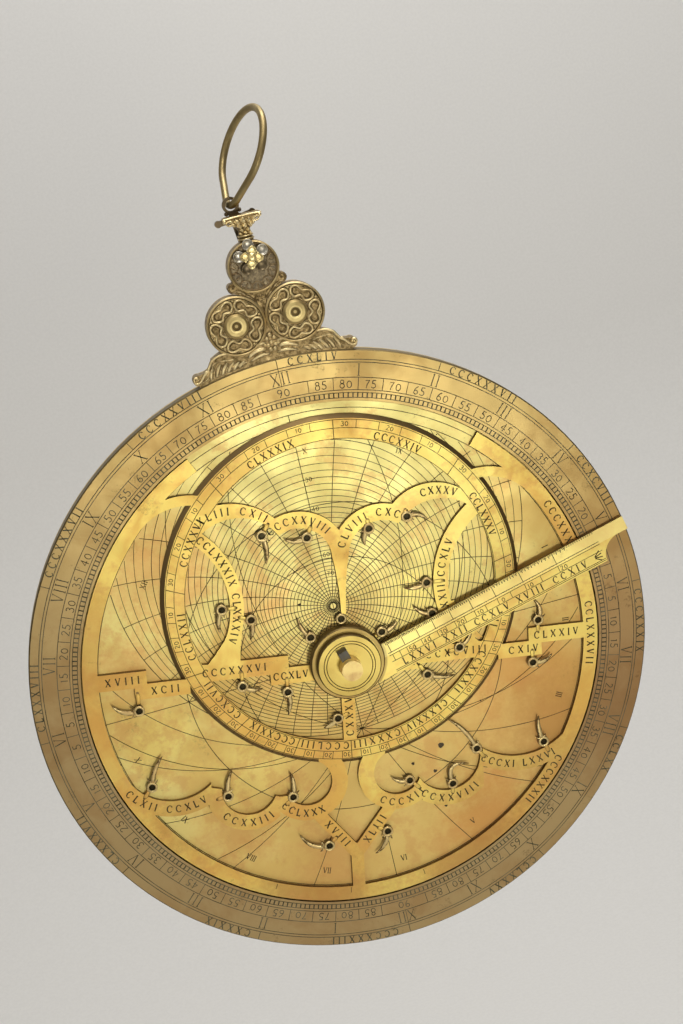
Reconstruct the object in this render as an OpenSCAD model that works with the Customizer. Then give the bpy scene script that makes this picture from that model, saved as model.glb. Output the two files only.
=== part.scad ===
// Planispheric astrolabe, seen from the front along +Y, with +X to the right and +Z up.
// The origin is the front tip of the central pin, and every turning plate turns on the Y axis.

/* [Body] */
// Outer radius of the limb
limb_outer_r = 150; // [145:1:160]
// Width of the limb band
limb_w = 23.8; // [22:0.2:26]
// Thickness of the solid back of the body
back_t = 2.5; // [2:0.1:4]
// Thickness of each of the three latitude plates
plate_t = 1.2; // [1:0.1:1.6]
// Gap between a latitude plate and the wall of the womb
plate_gap = 0.5; // [0.3:0.1:1]
// Width of the locating tab of a latitude plate
tab_w = 5.6; // [4:0.2:8]
// Reach of the locating tab past the wall of the womb
tab_reach = 2.4; // [1.5:0.1:3]
// Width of the bevels on the rims of the limb and the back
rim_bevel = 0.6; // [0.3:0.1:1]

/* [Pin and wedge] */
// Radius of the central pin
pin_r = 5.2; // [5:0.05:5.6]
// Radius of the free end of the pin
pin_end_r = 5; // [4.6:0.05:5]
// Length of the free end of the pin
pin_end_len = 3; // [2.5:0.1:4]
// Land between the free end of the pin and the wedge slot
slot_land = 0.2; // [0.1:0.1:0.6]
// Running clearance of everything bored for a pin
bore_gap = 0.05; // [0.02:0.01:0.1]
// Clearance between flat faces that slide on each other
play = 0.05; // [0:0.01:0.1]
// Radius of the rear head of the pin
head_r = 8; // [7:0.1:10]
// Thickness of the rear head of the pin
head_t = 3.3; // [2.5:0.1:4]
// Radius of the turned washer under the wedge
washer_r = 15.4; // [13:0.1:17]
// Thickness of the turned washer
washer_t = 4; // [3:0.1:5]
// Width of the wedge
wedge_w = 4.6; // [3:0.1:5]
// Height of the wedge where it enters the pin
wedge_h = 4.1; // [3.6:0.1:4.6]
// Height that the wedge loses for each millimetre of its length
wedge_slope = 0.06; // [0.04:0.01:0.08]
// Length of the wedge on its thick side of the pin axis
wedge_head_len = 9.5; // [7:0.5:12]
// Length of the wedge on its thin side of the pin axis
wedge_tip_len = 6; // [5.5:0.5:14]
// Direction of the thin end of the wedge, counted from +X
wedge_angle = -75.5; // [-80:0.5:-70]

/* [Rete] */
// Thickness of the fretwork
rete_t = 2.05; // [1.6:0.05:2.4]
// Depth of the face of the fretwork behind the face of the limb
rete_sink = 0.3; // [0.1:0.05:0.6]
// Gap between the fretwork and the wall of the womb
rete_gap = 0.7; // [0.5:0.1:1]
// Width of the outer ring of the fretwork
ring_w = 7.1; // [6:0.1:8]
// Turn of the fretwork, anticlockwise from its upright place
rete_turn = -9.5; // [-20:0.5:20]
// Half angle of the opening at the top of the outer ring
ring_open_angle = 33; // [30:1:36]
// Width of the ecliptic band
ecliptic_w = 9.8; // [8.6:0.2:11]
// Width of the bevelled reading edge round the ecliptic band
ecliptic_edge_w = 2; // [1:0.1:2.4]
// Depth of that bevel
ecliptic_edge_drop = 1.45; // [0.8:0.05:1.6]
// Radius of the hub ring of the fretwork
rete_hub_r = 17.4; // [16:0.1:18]
// Width of the curved bands that carry the lower stars
festoon_w = 7.8; // [7:0.2:9]
// Height of the star pointers on the fretwork
pointer_t = 0.6; // [0.4:0.05:0.7]
// Radius of the eye of a star pointer
eye_r = 2.7; // [2.3:0.1:3]
// Radius of the hole in the eye
eye_hole_r = 1.3; // [1:0.1:1.6]

/* [Rule] */
// Reach of the rule from the pin axis
rule_len = 149.5; // [140:0.5:155]
// Width of the rule
rule_w = 16.5; // [14:0.5:18]
// Thickness of the rule
rule_t = 3; // [2.4:0.1:3.4]
// Width of the bevel along the reading edge
rule_bevel_w = 6.5; // [5:0.5:8]
// Thickness left at the reading edge
rule_edge_t = 1.9; // [0.5:0.1:2.2]
// Height of the underside of the rule over the limb
rule_lift = 0.8; // [0.6:0.1:1.2]
// Length of the narrow tongue at the tip of the rule
tongue_len = 15.5; // [12:0.5:20]
// Width of the narrow tongue
tongue_w = 6.5; // [5.5:0.5:8]
// Radius of the centre disc of the rule
rule_disc_r = 18; // [17:0.1:20]
// Thickness of the centre disc of the rule
rule_disc_t = 4.75; // [4.4:0.05:5.4]
// Radius of the boss that the centre disc stands on
rule_boss_r = 10; // [8:0.5:11]
// Turn of the rule, anticlockwise from +X
rule_turn = 13.4; // [-40:0.2:40]

/* [Alidade] */
// Half length of the sighting bar on the back
alidade_len = 147; // [130:1:149]
// Width of the sighting bar
alidade_w = 16; // [14:0.5:20]
// Thickness of the sighting bar
alidade_t = 3; // [2.4:0.1:4]
// Radius of the centre disc of the sighting bar
alidade_hub_r = 15; // [13:0.5:18]
// Length of the pointed ends of the sighting bar
alidade_point_len = 22; // [16:1:24]
// Distance of each folding sight from the point of the bar
vane_inset = 35; // [32:1:45]
// Height of the folding sights
vane_h = 20; // [16:0.5:24]
// Thickness of the folding sights
vane_t = 2; // [1.6:0.1:2.4]
// Radius of the hinge knuckles
knuckle_r = 1.7; // [1.5:0.05:2]
// Width of the middle knuckle, which belongs to the sight
knuckle_w = 8; // [6:0.5:9]
// Radius of the hinge pins of the sights
vane_pin_r = 0.7; // [0.6:0.05:0.9]
// Gap beside and above the knuckles
knuckle_gap = 0.3; // [0.2:0.05:0.5]
// Radius of the large sight hole
sight_hole_r = 1; // [0.6:0.1:1.4]

/* [Throne] */
// Thickness of the throne
throne_t = 7; // [6:0.1:8]
// Depth of the face of the throne behind the face of the limb
throne_sink = 0.5; // [0.2:0.1:1]
// Seat gap between the throne and the rim of the limb
seat_gap = 0.05; // [0.02:0.01:0.1]
// Radius of the two lower roundels
roundel_r = 13.7; // [13:0.1:13.7]
// Height of the lower roundels above the rim of the limb
roundel_z = 18.8; // [18.4:0.1:19.6]
// Radius of the top roundel
top_roundel_r = 11.8; // [11.4:0.1:12.4]
// Height of the top roundel above the rim of the limb
top_roundel_z = 43; // [42.8:0.2:45]
// Width of the raised rims of the roundels
rim_w = 1.2; // [0.8:0.1:1.6]
// Height of the raised rims over the field of a roundel
rim_h = 1.4; // [0.8:0.1:2]
// Height of the tracery on the lower roundels
tracery_h = 0.8; // [0.4:0.1:1.2]
// Depth of the webs between the roundels behind the face of the throne
web_sink = 0.3; // [0.1:0.1:0.6]
// Radius of the turned bosses
boss_r = 5.6; // [4.8:0.1:5.8]
// Height of the turned bosses
boss_h = 2; // [1.4:0.1:2.6]
// Half width of the abacus over the neck
abacus_w = 8.8; // [8:0.1:9.2]
// Height of the top of the abacus above the rim of the limb
abacus_z = 66.6; // [66:0.1:67.2]
// Radius of the dowels between throne and limb
dowel_r = 1.2; // [0.8:0.1:1.6]
// Distance of the dowels from the middle of the throne
dowel_x = 21; // [18:0.5:24]
// Length of the dowels in the limb
dowel_in_limb = 9; // [6:0.5:12]
// Reach of the dowels above the height of the rim, at the middle of the throne
dowel_in_throne = 4.5; // [3.5:0.1:5]
// Thickness of the silver flower on the top roundel
silver_t = 1; // [0.8:0.1:1.2]
// Thickness of the gilt flower on the silver one
gilt_t = 1.3; // [1:0.1:1.6]

/* [Shackle and ring] */
// Height of the shackle pivot above the rim of the limb
pivot_z = 47.5; // [47:0.5:49]
// Radius of the shackle pivot
pivot_r = 1.6; // [1.4:0.1:2]
// Thickness of the shackle strap
shackle_t = 2; // [1.6:0.1:2.4]
// Distance from the shackle pivot to its eye
shackle_len = 23.7; // [23.4:0.1:25]
// Lean of the shackle, clockwise from upright
shackle_lean = -7.2; // [-10:0.2:10]
// Radius of the wire of the suspension ring
wire_r = 1.7; // [1.4:0.05:1.8]
// Mean length of the suspension ring, from the eye to its top
ring_len = 44.5; // [42:0.5:48]
// Mean radius of the wide top bend of the suspension ring
ring_top_r = 19.5; // [18:0.5:21]
// Mean radius of the narrow bend of the suspension ring in the eye
ring_bend_r = 8; // [7:0.5:10]
// Gap between the wire and the eye of the shackle
eye_gap = 0.8; // [0.6:0.05:0.9]
// Wall of the eye of the shackle
eye_wall = 1.3; // [1.1:0.1:1.7]
// Lean of the suspension ring, clockwise from upright
ring_lean = 29.4; // [0:0.2:40]
// Twist of the suspension ring about its own length
ring_twist = 16; // [0:1:16]
// Tip of the suspension ring in its own plane, backwards
ring_tip = 8; // [0:1:8]

/* [Hidden] */
$fn = 96;

// Colours of the metals
brass = [0.80, 0.62, 0.28];
plate_brass = [0.84, 0.68, 0.36];
rete_brass = [0.86, 0.64, 0.25];
bronze = [0.50, 0.42, 0.26];
gilt = [0.90, 0.70, 0.25];
silver = [0.75, 0.74, 0.70];
iron = [0.22, 0.21, 0.20];

// Places along Y, from the front tip of the pin to the back
slot_h = wedge_h + play;
washer_y = pin_end_len + slot_land + slot_h;
disc_y = washer_y + washer_t + play;
rete_y = disc_y + rule_disc_t + play;
limb_y = rete_y - rete_sink;
plate_y = rete_y + rete_t + play;
back_y = plate_y + 3 * plate_t;
rear_y = back_y + back_t;
alidade_y = rear_y + 2 * play;
head_y = alidade_y + alidade_t + 2 * play;
rule_under_y = limb_y - rule_lift;
rule_face_y = rule_under_y - rule_t;
knuckle_y = alidade_y + alidade_t + knuckle_r + knuckle_gap;
vane_x = alidade_len - vane_inset;

// Radii that follow from the body
bore_r = pin_r + bore_gap;
womb_r = limb_outer_r - limb_w;
plate_r = womb_r - plate_gap;
rete_r = womb_r - rete_gap;
ring_in_r = rete_r - ring_w;
notch_gap = 0.3;

// Projection of the sky on the fretwork: the ring's inner edge is the tropic of Capricorn
obliquity = 23.5;
equator_r = ring_in_r * tan((90 - obliquity) / 2);
ecliptic_r = equator_r / cos(obliquity);
ecliptic_z = equator_r * tan(obliquity);
ecliptic_out_r = ecliptic_r - 0.3;

// The numbers of the strapwork are for a ring of inner radius 118.4 and grow with the ring
draw = ring_in_r / 118.4;
strap_end_r = ring_in_r / draw + 1;

// Bowls over the lower curved bands: centre, radius, then the left and right ends of the band
// and the height of its top at each end
festoons = [
    [[-86.2, -36.3], 25.2, -125, -69.3, -40, -40],
    [[-51, -60], 13.5, -71, -37, -56.5, -65.7],
    [[-22.3, -60.5], 11.9, -44, 0, -66, -66],
    [[22.3, -60.5], 11.9, 0, 44, -65.5, -65.5],
    [[47.5, -57], 16.6, 34, 65.5, -65, -55.5],
    [[84.5, -27.5], 32.5, 65.5, 125, -52, -20]
];
festoon_floor = -105;

// Star pointers on the drawn fretwork: eye, tip of the tail, seat on a band, bend of the tail
pointers = [
    [[-36.7, 65.6], [-35.5, 51.8], [-33, 71.5], 0.2],
    [[-15.5, 62.5], [-26.3, 63], [-13, 68.5], 0.3],
    [[14.2, 64], [12, 56], [13.7, 69], -0.3],
    [[32.7, 68], [42.5, 66], [32, 72], 0.3],
    [[40.9, 34.5], [29.4, 33.3], [50, 34.5], 0.25],
    [[42.9, 18.8], [34, 23.5], [51.5, 21], 0.3],
    [[17.8, 12.3], [25.5, 17], [12, 8], -0.3],
    [[-16.6, 13.4], [-22.2, 23.7], [-11.5, 9], 0.2],
    [[-57.9, 31.8], [-59.4, 20.5], [-50.5, 32], -0.2],
    [[-44.4, 25.3], [-45.5, 15.5], [-50.5, 27.5], 0.2],
    [[-50.7, -7.3], [-41, -9.1], [-50.7, 0.5], -0.3],
    [[-5.8, -29], [-13, -33], [0, -27], 0.2],
    [[-29.3, -12.7], [-29.9, -24.3], [-29.3, -5], 0.2],
    [[-100.4, -13.6], [-113, -9.3], [-100.4, -4], 0.35],
    [[-97.6, -52.8], [-91.5, -37.6], [-102, -58.5], 0.15],
    [[-61.6, -62.3], [-58.8, -48.7], [-67.5, -63.5], 0.15],
    [[-30.1, -66.9], [-30.8, -53.8], [-34, -71], -0.15],
    [[-13.8, -95], [-28, -87.3], [-9.5, -90.5], 0.35],
    [[15.7, -91.2], [9, -102.4], [10.5, -88.5], 0.3],
    [[28, -65.7], [19, -63], [33.5, -71], 0.3],
    [[49.6, -70.3], [58.3, -60.7], [49.5, -76], 0.9],
    [[62.4, -53.3], [48.7, -36.5], [66.5, -59], -0.15],
    [[96.6, -54], [94.4, -40], [99.5, -60], 0.15],
    [[95.4, 9.6], [93.5, 20], [95.4, 3], -0.4],
    [[92.2, -11.9], [102, -8.3], [92.2, -5], -0.35],
    [[39.3, -11.9], [53, -13.4], [35, -6], -0.2],
    [[55.7, 0.2], [62, 9], [50, -2], -0.25]
];
stem_eye = [-1.5, 21];
tail_w = 1.1;
neck_w = 1.8;

// Throne heights, all from the rim of the limb
rim_z = limb_outer_r;
throne_y = limb_y + throne_sink;
throne_back_y = throne_y + throne_t;
roundel_gap = 0.05;
roundel_x = roundel_r + roundel_gap;
field_y = throne_y + 0.5;
rosette_y = field_y - rim_h - play;
dowel_y = (throne_y + back_y) / 2;
dowel_low_z = rim_z - dowel_in_limb;
dowel_high_z = rim_z + dowel_in_throne;

// Shackle and ring
shackle_y = throne_back_y + play;
eye_in_r = wire_r + eye_gap;
eye_out_r = eye_in_r + eye_wall;
pivot = [0, rim_z + pivot_z];
link = [pivot[0] + shackle_len * sin(shackle_lean), pivot[1] + shackle_len * cos(shackle_lean)];
wire_y = shackle_y + shackle_t / 2;
ring_rise = ring_len - ring_top_r;
leg_drawn = 0.04;
leg_lap = 0.3;
ring_slope = asin((ring_top_r - ring_bend_r) / (ring_rise - ring_bend_r));
ring_leg = (ring_rise - ring_bend_r) * cos(ring_slope);

// A flat piece: the drawing lies in X and Z, its front face at y, its thickness t backwards
module slab(y, t) {
    translate([0, y + t, 0]) rotate([90, 0, 0]) linear_extrude(t) children();
}

// A turned piece on the Y axis: the drawing gives radius and depth behind the front face at y
module turned(y) {
    translate([0, y, 0]) rotate([-90, 0, 0]) rotate_extrude() children();
}

module annulus(r_out, r_in) {
    difference() {
        circle(r_out);
        circle(r_in);
    }
}

// A straight bar of width w between two points of the drawing
module bar_2d(a, b, w) {
    d = b - a;
    translate(a) rotate(atan2(d[1], d[0])) translate([0, -w / 2]) square([norm(d), w]);
}

module both_sides() {
    children();
    mirror([1, 0]) children();
}

// Body
module back_plate() {
    color(brass) turned(back_y) polygon([
        [bore_r, 0], [limb_outer_r, 0], [limb_outer_r, back_t - rim_bevel],
        [limb_outer_r - rim_bevel, back_t], [bore_r, back_t]
    ]);
}

module dowel_holes() {
    for (x = [-dowel_x, dowel_x])
        translate([x, dowel_y, dowel_low_z - notch_gap])
            cylinder(r = dowel_r + 0.02, h = dowel_high_z - dowel_low_z + 2 * notch_gap, $fn = 32);
}

module limb() {
    limb_t = back_y - limb_y;
    color(brass) difference() {
        turned(limb_y) polygon([
            [womb_r, 0], [limb_outer_r - rim_bevel, 0], [limb_outer_r, rim_bevel],
            [limb_outer_r, limb_t], [womb_r, limb_t]
        ]);
        slab(plate_y - notch_gap, back_y - plate_y + 2 * notch_gap)
            translate([-tab_w / 2 - notch_gap, womb_r - 2])
                square([tab_w + 2 * notch_gap, 2 + tab_reach + notch_gap]);
        dowel_holes();
    }
}

module latitude_plate(level) {
    color(plate_brass) slab(plate_y + level * plate_t, plate_t) difference() {
        union() {
            circle(plate_r);
            translate([-tab_w / 2, plate_r - 2]) square([tab_w, 2 + plate_gap + tab_reach]);
        }
        circle(bore_r);
    }
}

module plate_upper() { latitude_plate(0); }
module plate_middle() { latitude_plate(1); }
module plate_lower() { latitude_plate(2); }

// Pin, washer and wedge
// Side view of the wedge: along it, and its height over the washer
module wedge_side(fit) {
    head_h = wedge_h + wedge_slope * (wedge_head_len - pin_r) + fit;
    tip_h = wedge_h - wedge_slope * (wedge_tip_len + pin_r) + fit;
    polygon([[-wedge_head_len, -washer_y], [wedge_tip_len, -washer_y],
             [wedge_tip_len, tip_h - washer_y], [-wedge_head_len, head_h - washer_y]]);
}

module along_wedge(width) {
    rotate([0, -wedge_angle, 0]) translate([0, 0, -width / 2])
        linear_extrude(width) mirror([0, 1]) children();
}

module main_pin() {
    dome = 1;
    color(brass) difference() {
        turned(0) polygon([
            [0, 0], [pin_end_r, 0], [pin_end_r, pin_end_len], [pin_r, pin_end_len],
            [pin_r, head_y], [head_r, head_y],
            [head_r, head_y + head_t - dome], [head_r - 2 * dome, head_y + head_t],
            [0, head_y + head_t]
        ]);
        along_wedge(wedge_w + 2 * play) wedge_side(play);
    }
}

module wedge() {
    color(iron) along_wedge(wedge_w) wedge_side(0);
}

module washer() {
    step = 0.5;
    groove = 0.25;
    color(rete_brass) turned(washer_y) polygon([
        [bore_r, 0], [washer_r - 4.5, 0], [washer_r - 4.3, groove], [washer_r - 4.1, 0],
        [washer_r - 3.2, 0], [washer_r - 3, groove], [washer_r - 2.8, 0],
        [washer_r - step, 0], [washer_r, step], [washer_r, washer_t], [bore_r, washer_t]
    ]);
}

// Rete
module ecliptic_inside() {
    translate([0, ecliptic_z]) circle(ecliptic_out_r - ecliptic_w);
}

module ecliptic_disc() {
    translate([0, ecliptic_z]) circle(ecliptic_out_r);
}

module outer_ring() {
    far = 2 * rete_r;
    difference() {
        annulus(rete_r, ring_in_r);
        polygon([[0, 0], [far * sin(ring_open_angle), far * cos(ring_open_angle)],
                 [-far * sin(ring_open_angle), far * cos(ring_open_angle)]]);
    }
}

// Curved arm from the outer ring to the top of the ecliptic band
module shoulder_arch() {
    centre = [71.4, 55.8];
    r_in = 27.8;
    r_out = 32.6;
    intersection() {
        difference() {
            translate(centre) circle(r_out);
            translate(centre) circle(r_in);
        }
        circle(strap_end_r);
        polygon([centre, centre + 60 * [cos(36), sin(36)], centre + 60 * [cos(80), sin(80)],
                 centre + 60 * [cos(130), sin(130)]]);
    }
}

// One side's two scallops under the top of the ecliptic band, with half of the stem
module upper_scallops(far, far_r) {
    near = [20, 51.5];
    under = [48.5, 51];
    intersection() {
        difference() {
            union() {
                translate(near) circle(24);
                translate(far) circle(far_r);
            }
            translate(near) circle(16);
            translate(under) circle(24.3);
        }
        polygon([[-1, 51.5], near, [28.6, 65], [80, 65], [80, 95], [-1, 95]]);
    }
    polygon([[0, 23], [1.1, 23], [1.6, 35], [2.7, 45], [4, 52.5], [0, 54]]);
}

// Curved strap at one side of the ecliptic circle, with its foot on the cross bar
module side_strap(centre, r_out, r_in) {
    intersection() {
        translate(centre) annulus(r_out, r_in);
        translate([40, 1]) square([45, 85]);
    }
    polygon([[67.5, 4], [62.5, 9.8], [57.5, 16.5], [54, 24], [48.3, 24], [50.2, 13], [50.9, 4]]);
}

module cross_bars() {
    // Inner bar, stepped by its own width at each side of the hub
    translate([-76, -3]) square([48, 8.6]);
    translate([-37, -8.5]) square([25, 8.1]);
    translate([12, -8.5]) square([25, 8.1]);
    translate([28, -6]) square([48, 8]);
    // Outer bars, stepped half way
    translate([-119.5, -2.2]) square([24, 8.1]);
    translate([-101.5, -8]) square([26, 7.5]);
    translate([75, -8.3]) square([22, 7.5]);
    translate([90.5, -2.2]) square([29, 8]);
    // Strap under the hub
    translate([-3.5, -45]) square([6.5, 33]);
}

module festoon_bands() {
    strut_w = 6.2;
    strut_top = 95.4;
    middle = festoons[3];
    difference() {
        for (f = festoons) intersection() {
            translate(f[0]) circle(f[1] + festoon_w);
            polygon([[f[2], festoon_floor], [f[3], festoon_floor], [f[3], f[5]], [f[2], f[4]]]);
        }
        for (f = festoons) translate(f[0]) circle(f[1]);
    }
    // Inner ends of the middle bands, up to the ecliptic band
    both_sides() intersection() {
        translate(middle[0]) annulus(middle[1] + festoon_w, middle[1]);
        translate([0, -68]) square([16.5, 22]);
    }
    // Legs to the bottom strut
    for (side = [-1, 1]) bar_2d([side * 18, -78], [0, -101], strut_w);
    translate([-strut_w / 2, -strap_end_r]) square([strut_w, strap_end_r - strut_top]);
}

module inner_strapwork() {
    upper_scallops([45.3, 57.3], 25.9);
    mirror([1, 0]) upper_scallops([53, 49], 33.5);
    side_strap([93.2, 33.3], 49, 41.7);
    mirror([1, 0]) side_strap([95, 33], 47.7, 41.2);
    cross_bars();
}

module outer_strapwork() {
    both_sides() shoulder_arch();
    cross_bars();
    festoon_bands();
}

module rete_outline() {
    difference() {
        union() {
            outer_ring();
            difference() {
                union() {
                    ecliptic_disc();
                    intersection() {
                        scale(draw) outer_strapwork();
                        circle(ring_in_r + 1);
                    }
                }
                ecliptic_inside();
            }
            intersection() {
                scale(draw) inner_strapwork();
                ecliptic_disc();
            }
            circle(rete_hub_r);
        }
        circle(bore_r);
    }
}

// Rim of the ecliptic band with its bevelled reading edge
module ecliptic_edge() {
    inside = ecliptic_out_r - 1;
    outside = ecliptic_out_r + ecliptic_edge_w;
    rotate([0, -rete_turn, 0]) translate([0, 0, ecliptic_z]) turned(rete_y) polygon([
        [inside, 0], [ecliptic_out_r, 0], [outside, ecliptic_edge_drop], [outside, rete_t],
        [inside, rete_t]
    ]);
}

module rete() {
    color(rete_brass) {
        slab(rete_y, rete_t) rotate(rete_turn) rete_outline();
        ecliptic_edge();
    }
}

// Point and width along a pointer's curved tail, t from 0 at the eye to 1 at the tip
function tail_point(p, t) =
    let (d = p[1] - p[0], side = [-d[1], d[0]] * p[3], mid = (p[0] + p[1]) / 2 + side)
    (1 - t) * (1 - t) * p[0] + 2 * t * (1 - t) * mid + t * t * p[1];
function tail_side(p, t) =
    let (a = tail_point(p, t - 0.02), b = tail_point(p, t + 0.02), d = (b - a) / norm(b - a))
    [-d[1], d[0]];
function tail_half(t) = tail_w * (1 - t) * (1 + 1.6 * t) + 0.15;

module pointer_2d(p) {
    steps = 7;
    right = [for (i = [0 : steps]) let (t = i / steps)
        tail_point(p, t) - tail_side(p, t) * tail_half(t)];
    left = [for (i = [0 : steps]) let (t = 1 - i / steps)
        tail_point(p, t) + tail_side(p, t) * tail_half(t)];
    difference() {
        union() {
            translate(p[0]) circle(eye_r);
            polygon(concat(right, left));
            bar_2d(p[0], p[2], neck_w);
            translate(p[2]) circle(neck_w * 0.7, $fn = 32);
        }
        translate(p[0]) circle(eye_hole_r);
    }
}

module star_pointers() {
    color(gilt) slab(rete_y - pointer_t, pointer_t) rotate(rete_turn) scale(draw) {
        for (p = pointers) pointer_2d(p);
        translate(stem_eye) annulus(eye_r, eye_hole_r);
    }
}

// Rule
module rule_plan() {
    difference() {
        translate([bore_r + 4, -rule_w]) square([rule_len - bore_r - 4, rule_w]);
        translate([rule_len - tongue_len, -rule_w - 0.01]) {
            translate([rule_w - tongue_w, 0]) circle(rule_w - tongue_w);
            translate([rule_w - tongue_w, 0]) square([tongue_len, rule_w - tongue_w]);
        }
    }
}

module rule() {
    edge_y = rule_under_y - rule_edge_t;
    color(rete_brass) {
        turned(disc_y) polygon([
            [bore_r, 0], [rule_disc_r - 0.6, 0], [rule_disc_r, 0.6],
            [rule_disc_r, rule_under_y - disc_y], [rule_boss_r, rule_under_y - disc_y],
            [rule_boss_r, rule_disc_t], [bore_r, rule_disc_t]
        ]);
        difference() {
            intersection() {
                rotate([0, -rule_turn, 0]) rotate([90, 0, 90]) linear_extrude(rule_len + 1)
                    polygon([[rule_face_y, -rule_w - 1], [rule_face_y, -rule_bevel_w],
                             [edge_y, 0], [rule_under_y, 0], [rule_under_y, -rule_w - 1]]);
                slab(rule_face_y - 1, rule_t + 2) rotate(rule_turn) rule_plan();
            }
            turned(rule_face_y - 1) square([rule_disc_r - 1, rule_t + 2]);
        }
    }
}

// Alidade with its folding sights
module alidade_plan() {
    tip_w = 1.2;
    shoulder_x = alidade_len - alidade_point_len;
    difference() {
        union() {
            circle(alidade_hub_r);
            polygon([
                [-alidade_len, -tip_w / 2], [-shoulder_x, -alidade_w / 2],
                [shoulder_x, -alidade_w / 2], [alidade_len, -tip_w / 2],
                [alidade_len, tip_w / 2], [shoulder_x, alidade_w / 2],
                [-shoulder_x, alidade_w / 2], [-alidade_len, tip_w / 2]
            ]);
        }
        circle(bore_r);
    }
}

module at_vane(side) {
    translate([side * vane_x, knuckle_y, 0]) children();
}

module knuckle(z, w) {
    foot = knuckle_y - alidade_y - alidade_t;
    translate([0, 0, z]) difference() {
        union() {
            cylinder(r = knuckle_r, h = w, $fn = 48);
            translate([-knuckle_r, -foot, 0]) cube([2 * knuckle_r, foot, w]);
        }
        translate([0, 0, -1]) cylinder(r = vane_pin_r + bore_gap, h = w + 2, $fn = 48);
    }
}

module alidade() {
    lug_w = (alidade_w - knuckle_w) / 2 - knuckle_gap;
    color(brass) {
        slab(alidade_y, alidade_t) alidade_plan();
        for (side = [-1, 1]) at_vane(side) {
            knuckle(knuckle_w / 2 + knuckle_gap, lug_w);
            knuckle(-knuckle_w / 2 - knuckle_gap - lug_w, lug_w);
        }
    }
}

// Sight plate, drawn across the bar and backwards from its hinge
module vane_plan() {
    low = knuckle_r + knuckle_gap;
    cap_r = alidade_w / 2 - 1;
    difference() {
        union() {
            translate([-alidade_w / 2, low]) square([alidade_w, vane_h - low - cap_r]);
            translate([0, vane_h - cap_r]) circle(cap_r);
            translate([-knuckle_w / 2, 0]) square([knuckle_w, low + 1]);
        }
        translate([0, vane_h * 0.35]) circle(sight_hole_r, $fn = 48);
        translate([0, vane_h * 0.7]) circle(sight_hole_r * 0.5, $fn = 48);
    }
}

module vane(side) {
    color(brass) at_vane(side) difference() {
        union() {
            translate([0, 0, -knuckle_w / 2]) cylinder(r = knuckle_r, h = knuckle_w, $fn = 48);
            translate([-vane_t / 2, 0, 0]) rotate([0, 90, 0]) linear_extrude(vane_t)
                vane_plan();
        }
        translate([0, 0, -knuckle_w]) cylinder(r = vane_pin_r + bore_gap, h = 2 * knuckle_w, $fn = 48);
    }
}

module vane_left() { vane(-1); }
module vane_right() { vane(1); }

module vane_pin(side) {
    reach = alidade_w / 2 - 0.1;
    color(bronze) at_vane(side) translate([0, 0, -reach])
        cylinder(r = vane_pin_r, h = 2 * reach, $fn = 48);
}

module vane_pin_left() { vane_pin(-1); }
module vane_pin_right() { vane_pin(1); }

// Throne
module at_height(x, z) {
    translate([x, 0, rim_z + z]) children();
}

module base_plan() {
    foot_x = 36.2;
    translate([0, rim_z]) both_sides() {
        translate([foot_x, -1.2]) circle(2.5);
        difference() {
            polygon([[0, -10], [foot_x, -10], [foot_x, 1], [33, 1.6], [28.5, 6.3],
                     [24, 8.5], [0, 8.5]]);
            translate([33.9, 7]) circle(5.6);
        }
    }
}

// Room for the three roundels, up to the middle of their rims
module roundel_room() {
    both_sides() translate([roundel_x, rim_z + roundel_z]) circle(roundel_r - rim_w / 2);
    translate([0, rim_z + top_roundel_z]) circle(top_roundel_r - rim_w / 2);
}

module web_plan() {
    translate([0, rim_z]) both_sides() {
        polygon([[0, 6], [7, 7], [2.5, 13], [1.2, 20], [3, 27], [8.5, 33], [10.5, 36], [0, 40]]);
        translate([11.6, 35.6]) circle(2.1);
        polygon([[5, 30], [12.5, 33.8], [11, 38], [4, 38]]);
    }
}

module roundel(r) {
    front = field_y - rim_h;
    turned(front) polygon([
        [0, rim_h], [r - rim_w, rim_h], [r - rim_w + 0.3, 0.2], [r - rim_w / 2, 0],
        [r, 0.5], [r, throne_back_y - front], [0, throne_back_y - front]
    ]);
}

// Neck, bell and abacus, turned about the upright and cut to the throne's thickness
module capital() {
    low = top_roundel_z + top_roundel_r - 2;
    translate([0, (throne_y + throne_back_y) / 2, rim_z]) rotate_extrude() polygon([
        [0, low], [3.3, low], [3.3, 55.2], [3.8, 55.7], [3.3, 56.2], [3, 56.6], [3.6, 57.2], [3, 57.8],
        [2.8, 59.4], [3.3, 60.8], [4.6, 62.2], [6.2, 63.2], [abacus_w - 1.4, abacus_z - 2.6],
        [abacus_w, abacus_z - 1.8], [abacus_w, abacus_z - 0.4], [abacus_w - 0.5, abacus_z],
        [0, abacus_z]
    ]);
}

module throne() {
    color(bronze) difference() {
        union() {
            slab(throne_y, throne_t) difference() {
                base_plan();
                circle(limb_outer_r + seat_gap);
                roundel_room();
            }
            slab(throne_y + web_sink, throne_t - 2 * web_sink) difference() {
                web_plan();
                roundel_room();
            }
            for (side = [-1, 1]) at_height(side * roundel_x, roundel_z) roundel(roundel_r);
            at_height(0, top_roundel_z) roundel(top_roundel_r);
            intersection() {
                capital();
                translate([-abacus_w - 1, throne_y, rim_z])
                    cube([2 * abacus_w + 2, throne_t, abacus_z + 1]);
            }
        }
        dowel_holes();
        at_height(0, pivot_z) rotate([-90, 0, 0])
            cylinder(r = pivot_r + bore_gap, h = throne_back_y + 1, $fn = 48);
    }
}

module throne_dowels() {
    color(brass) for (x = [-dowel_x, dowel_x])
        translate([x, dowel_y, dowel_low_z])
            cylinder(r = dowel_r, h = dowel_high_z - dowel_low_z, $fn = 32);
}

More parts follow.
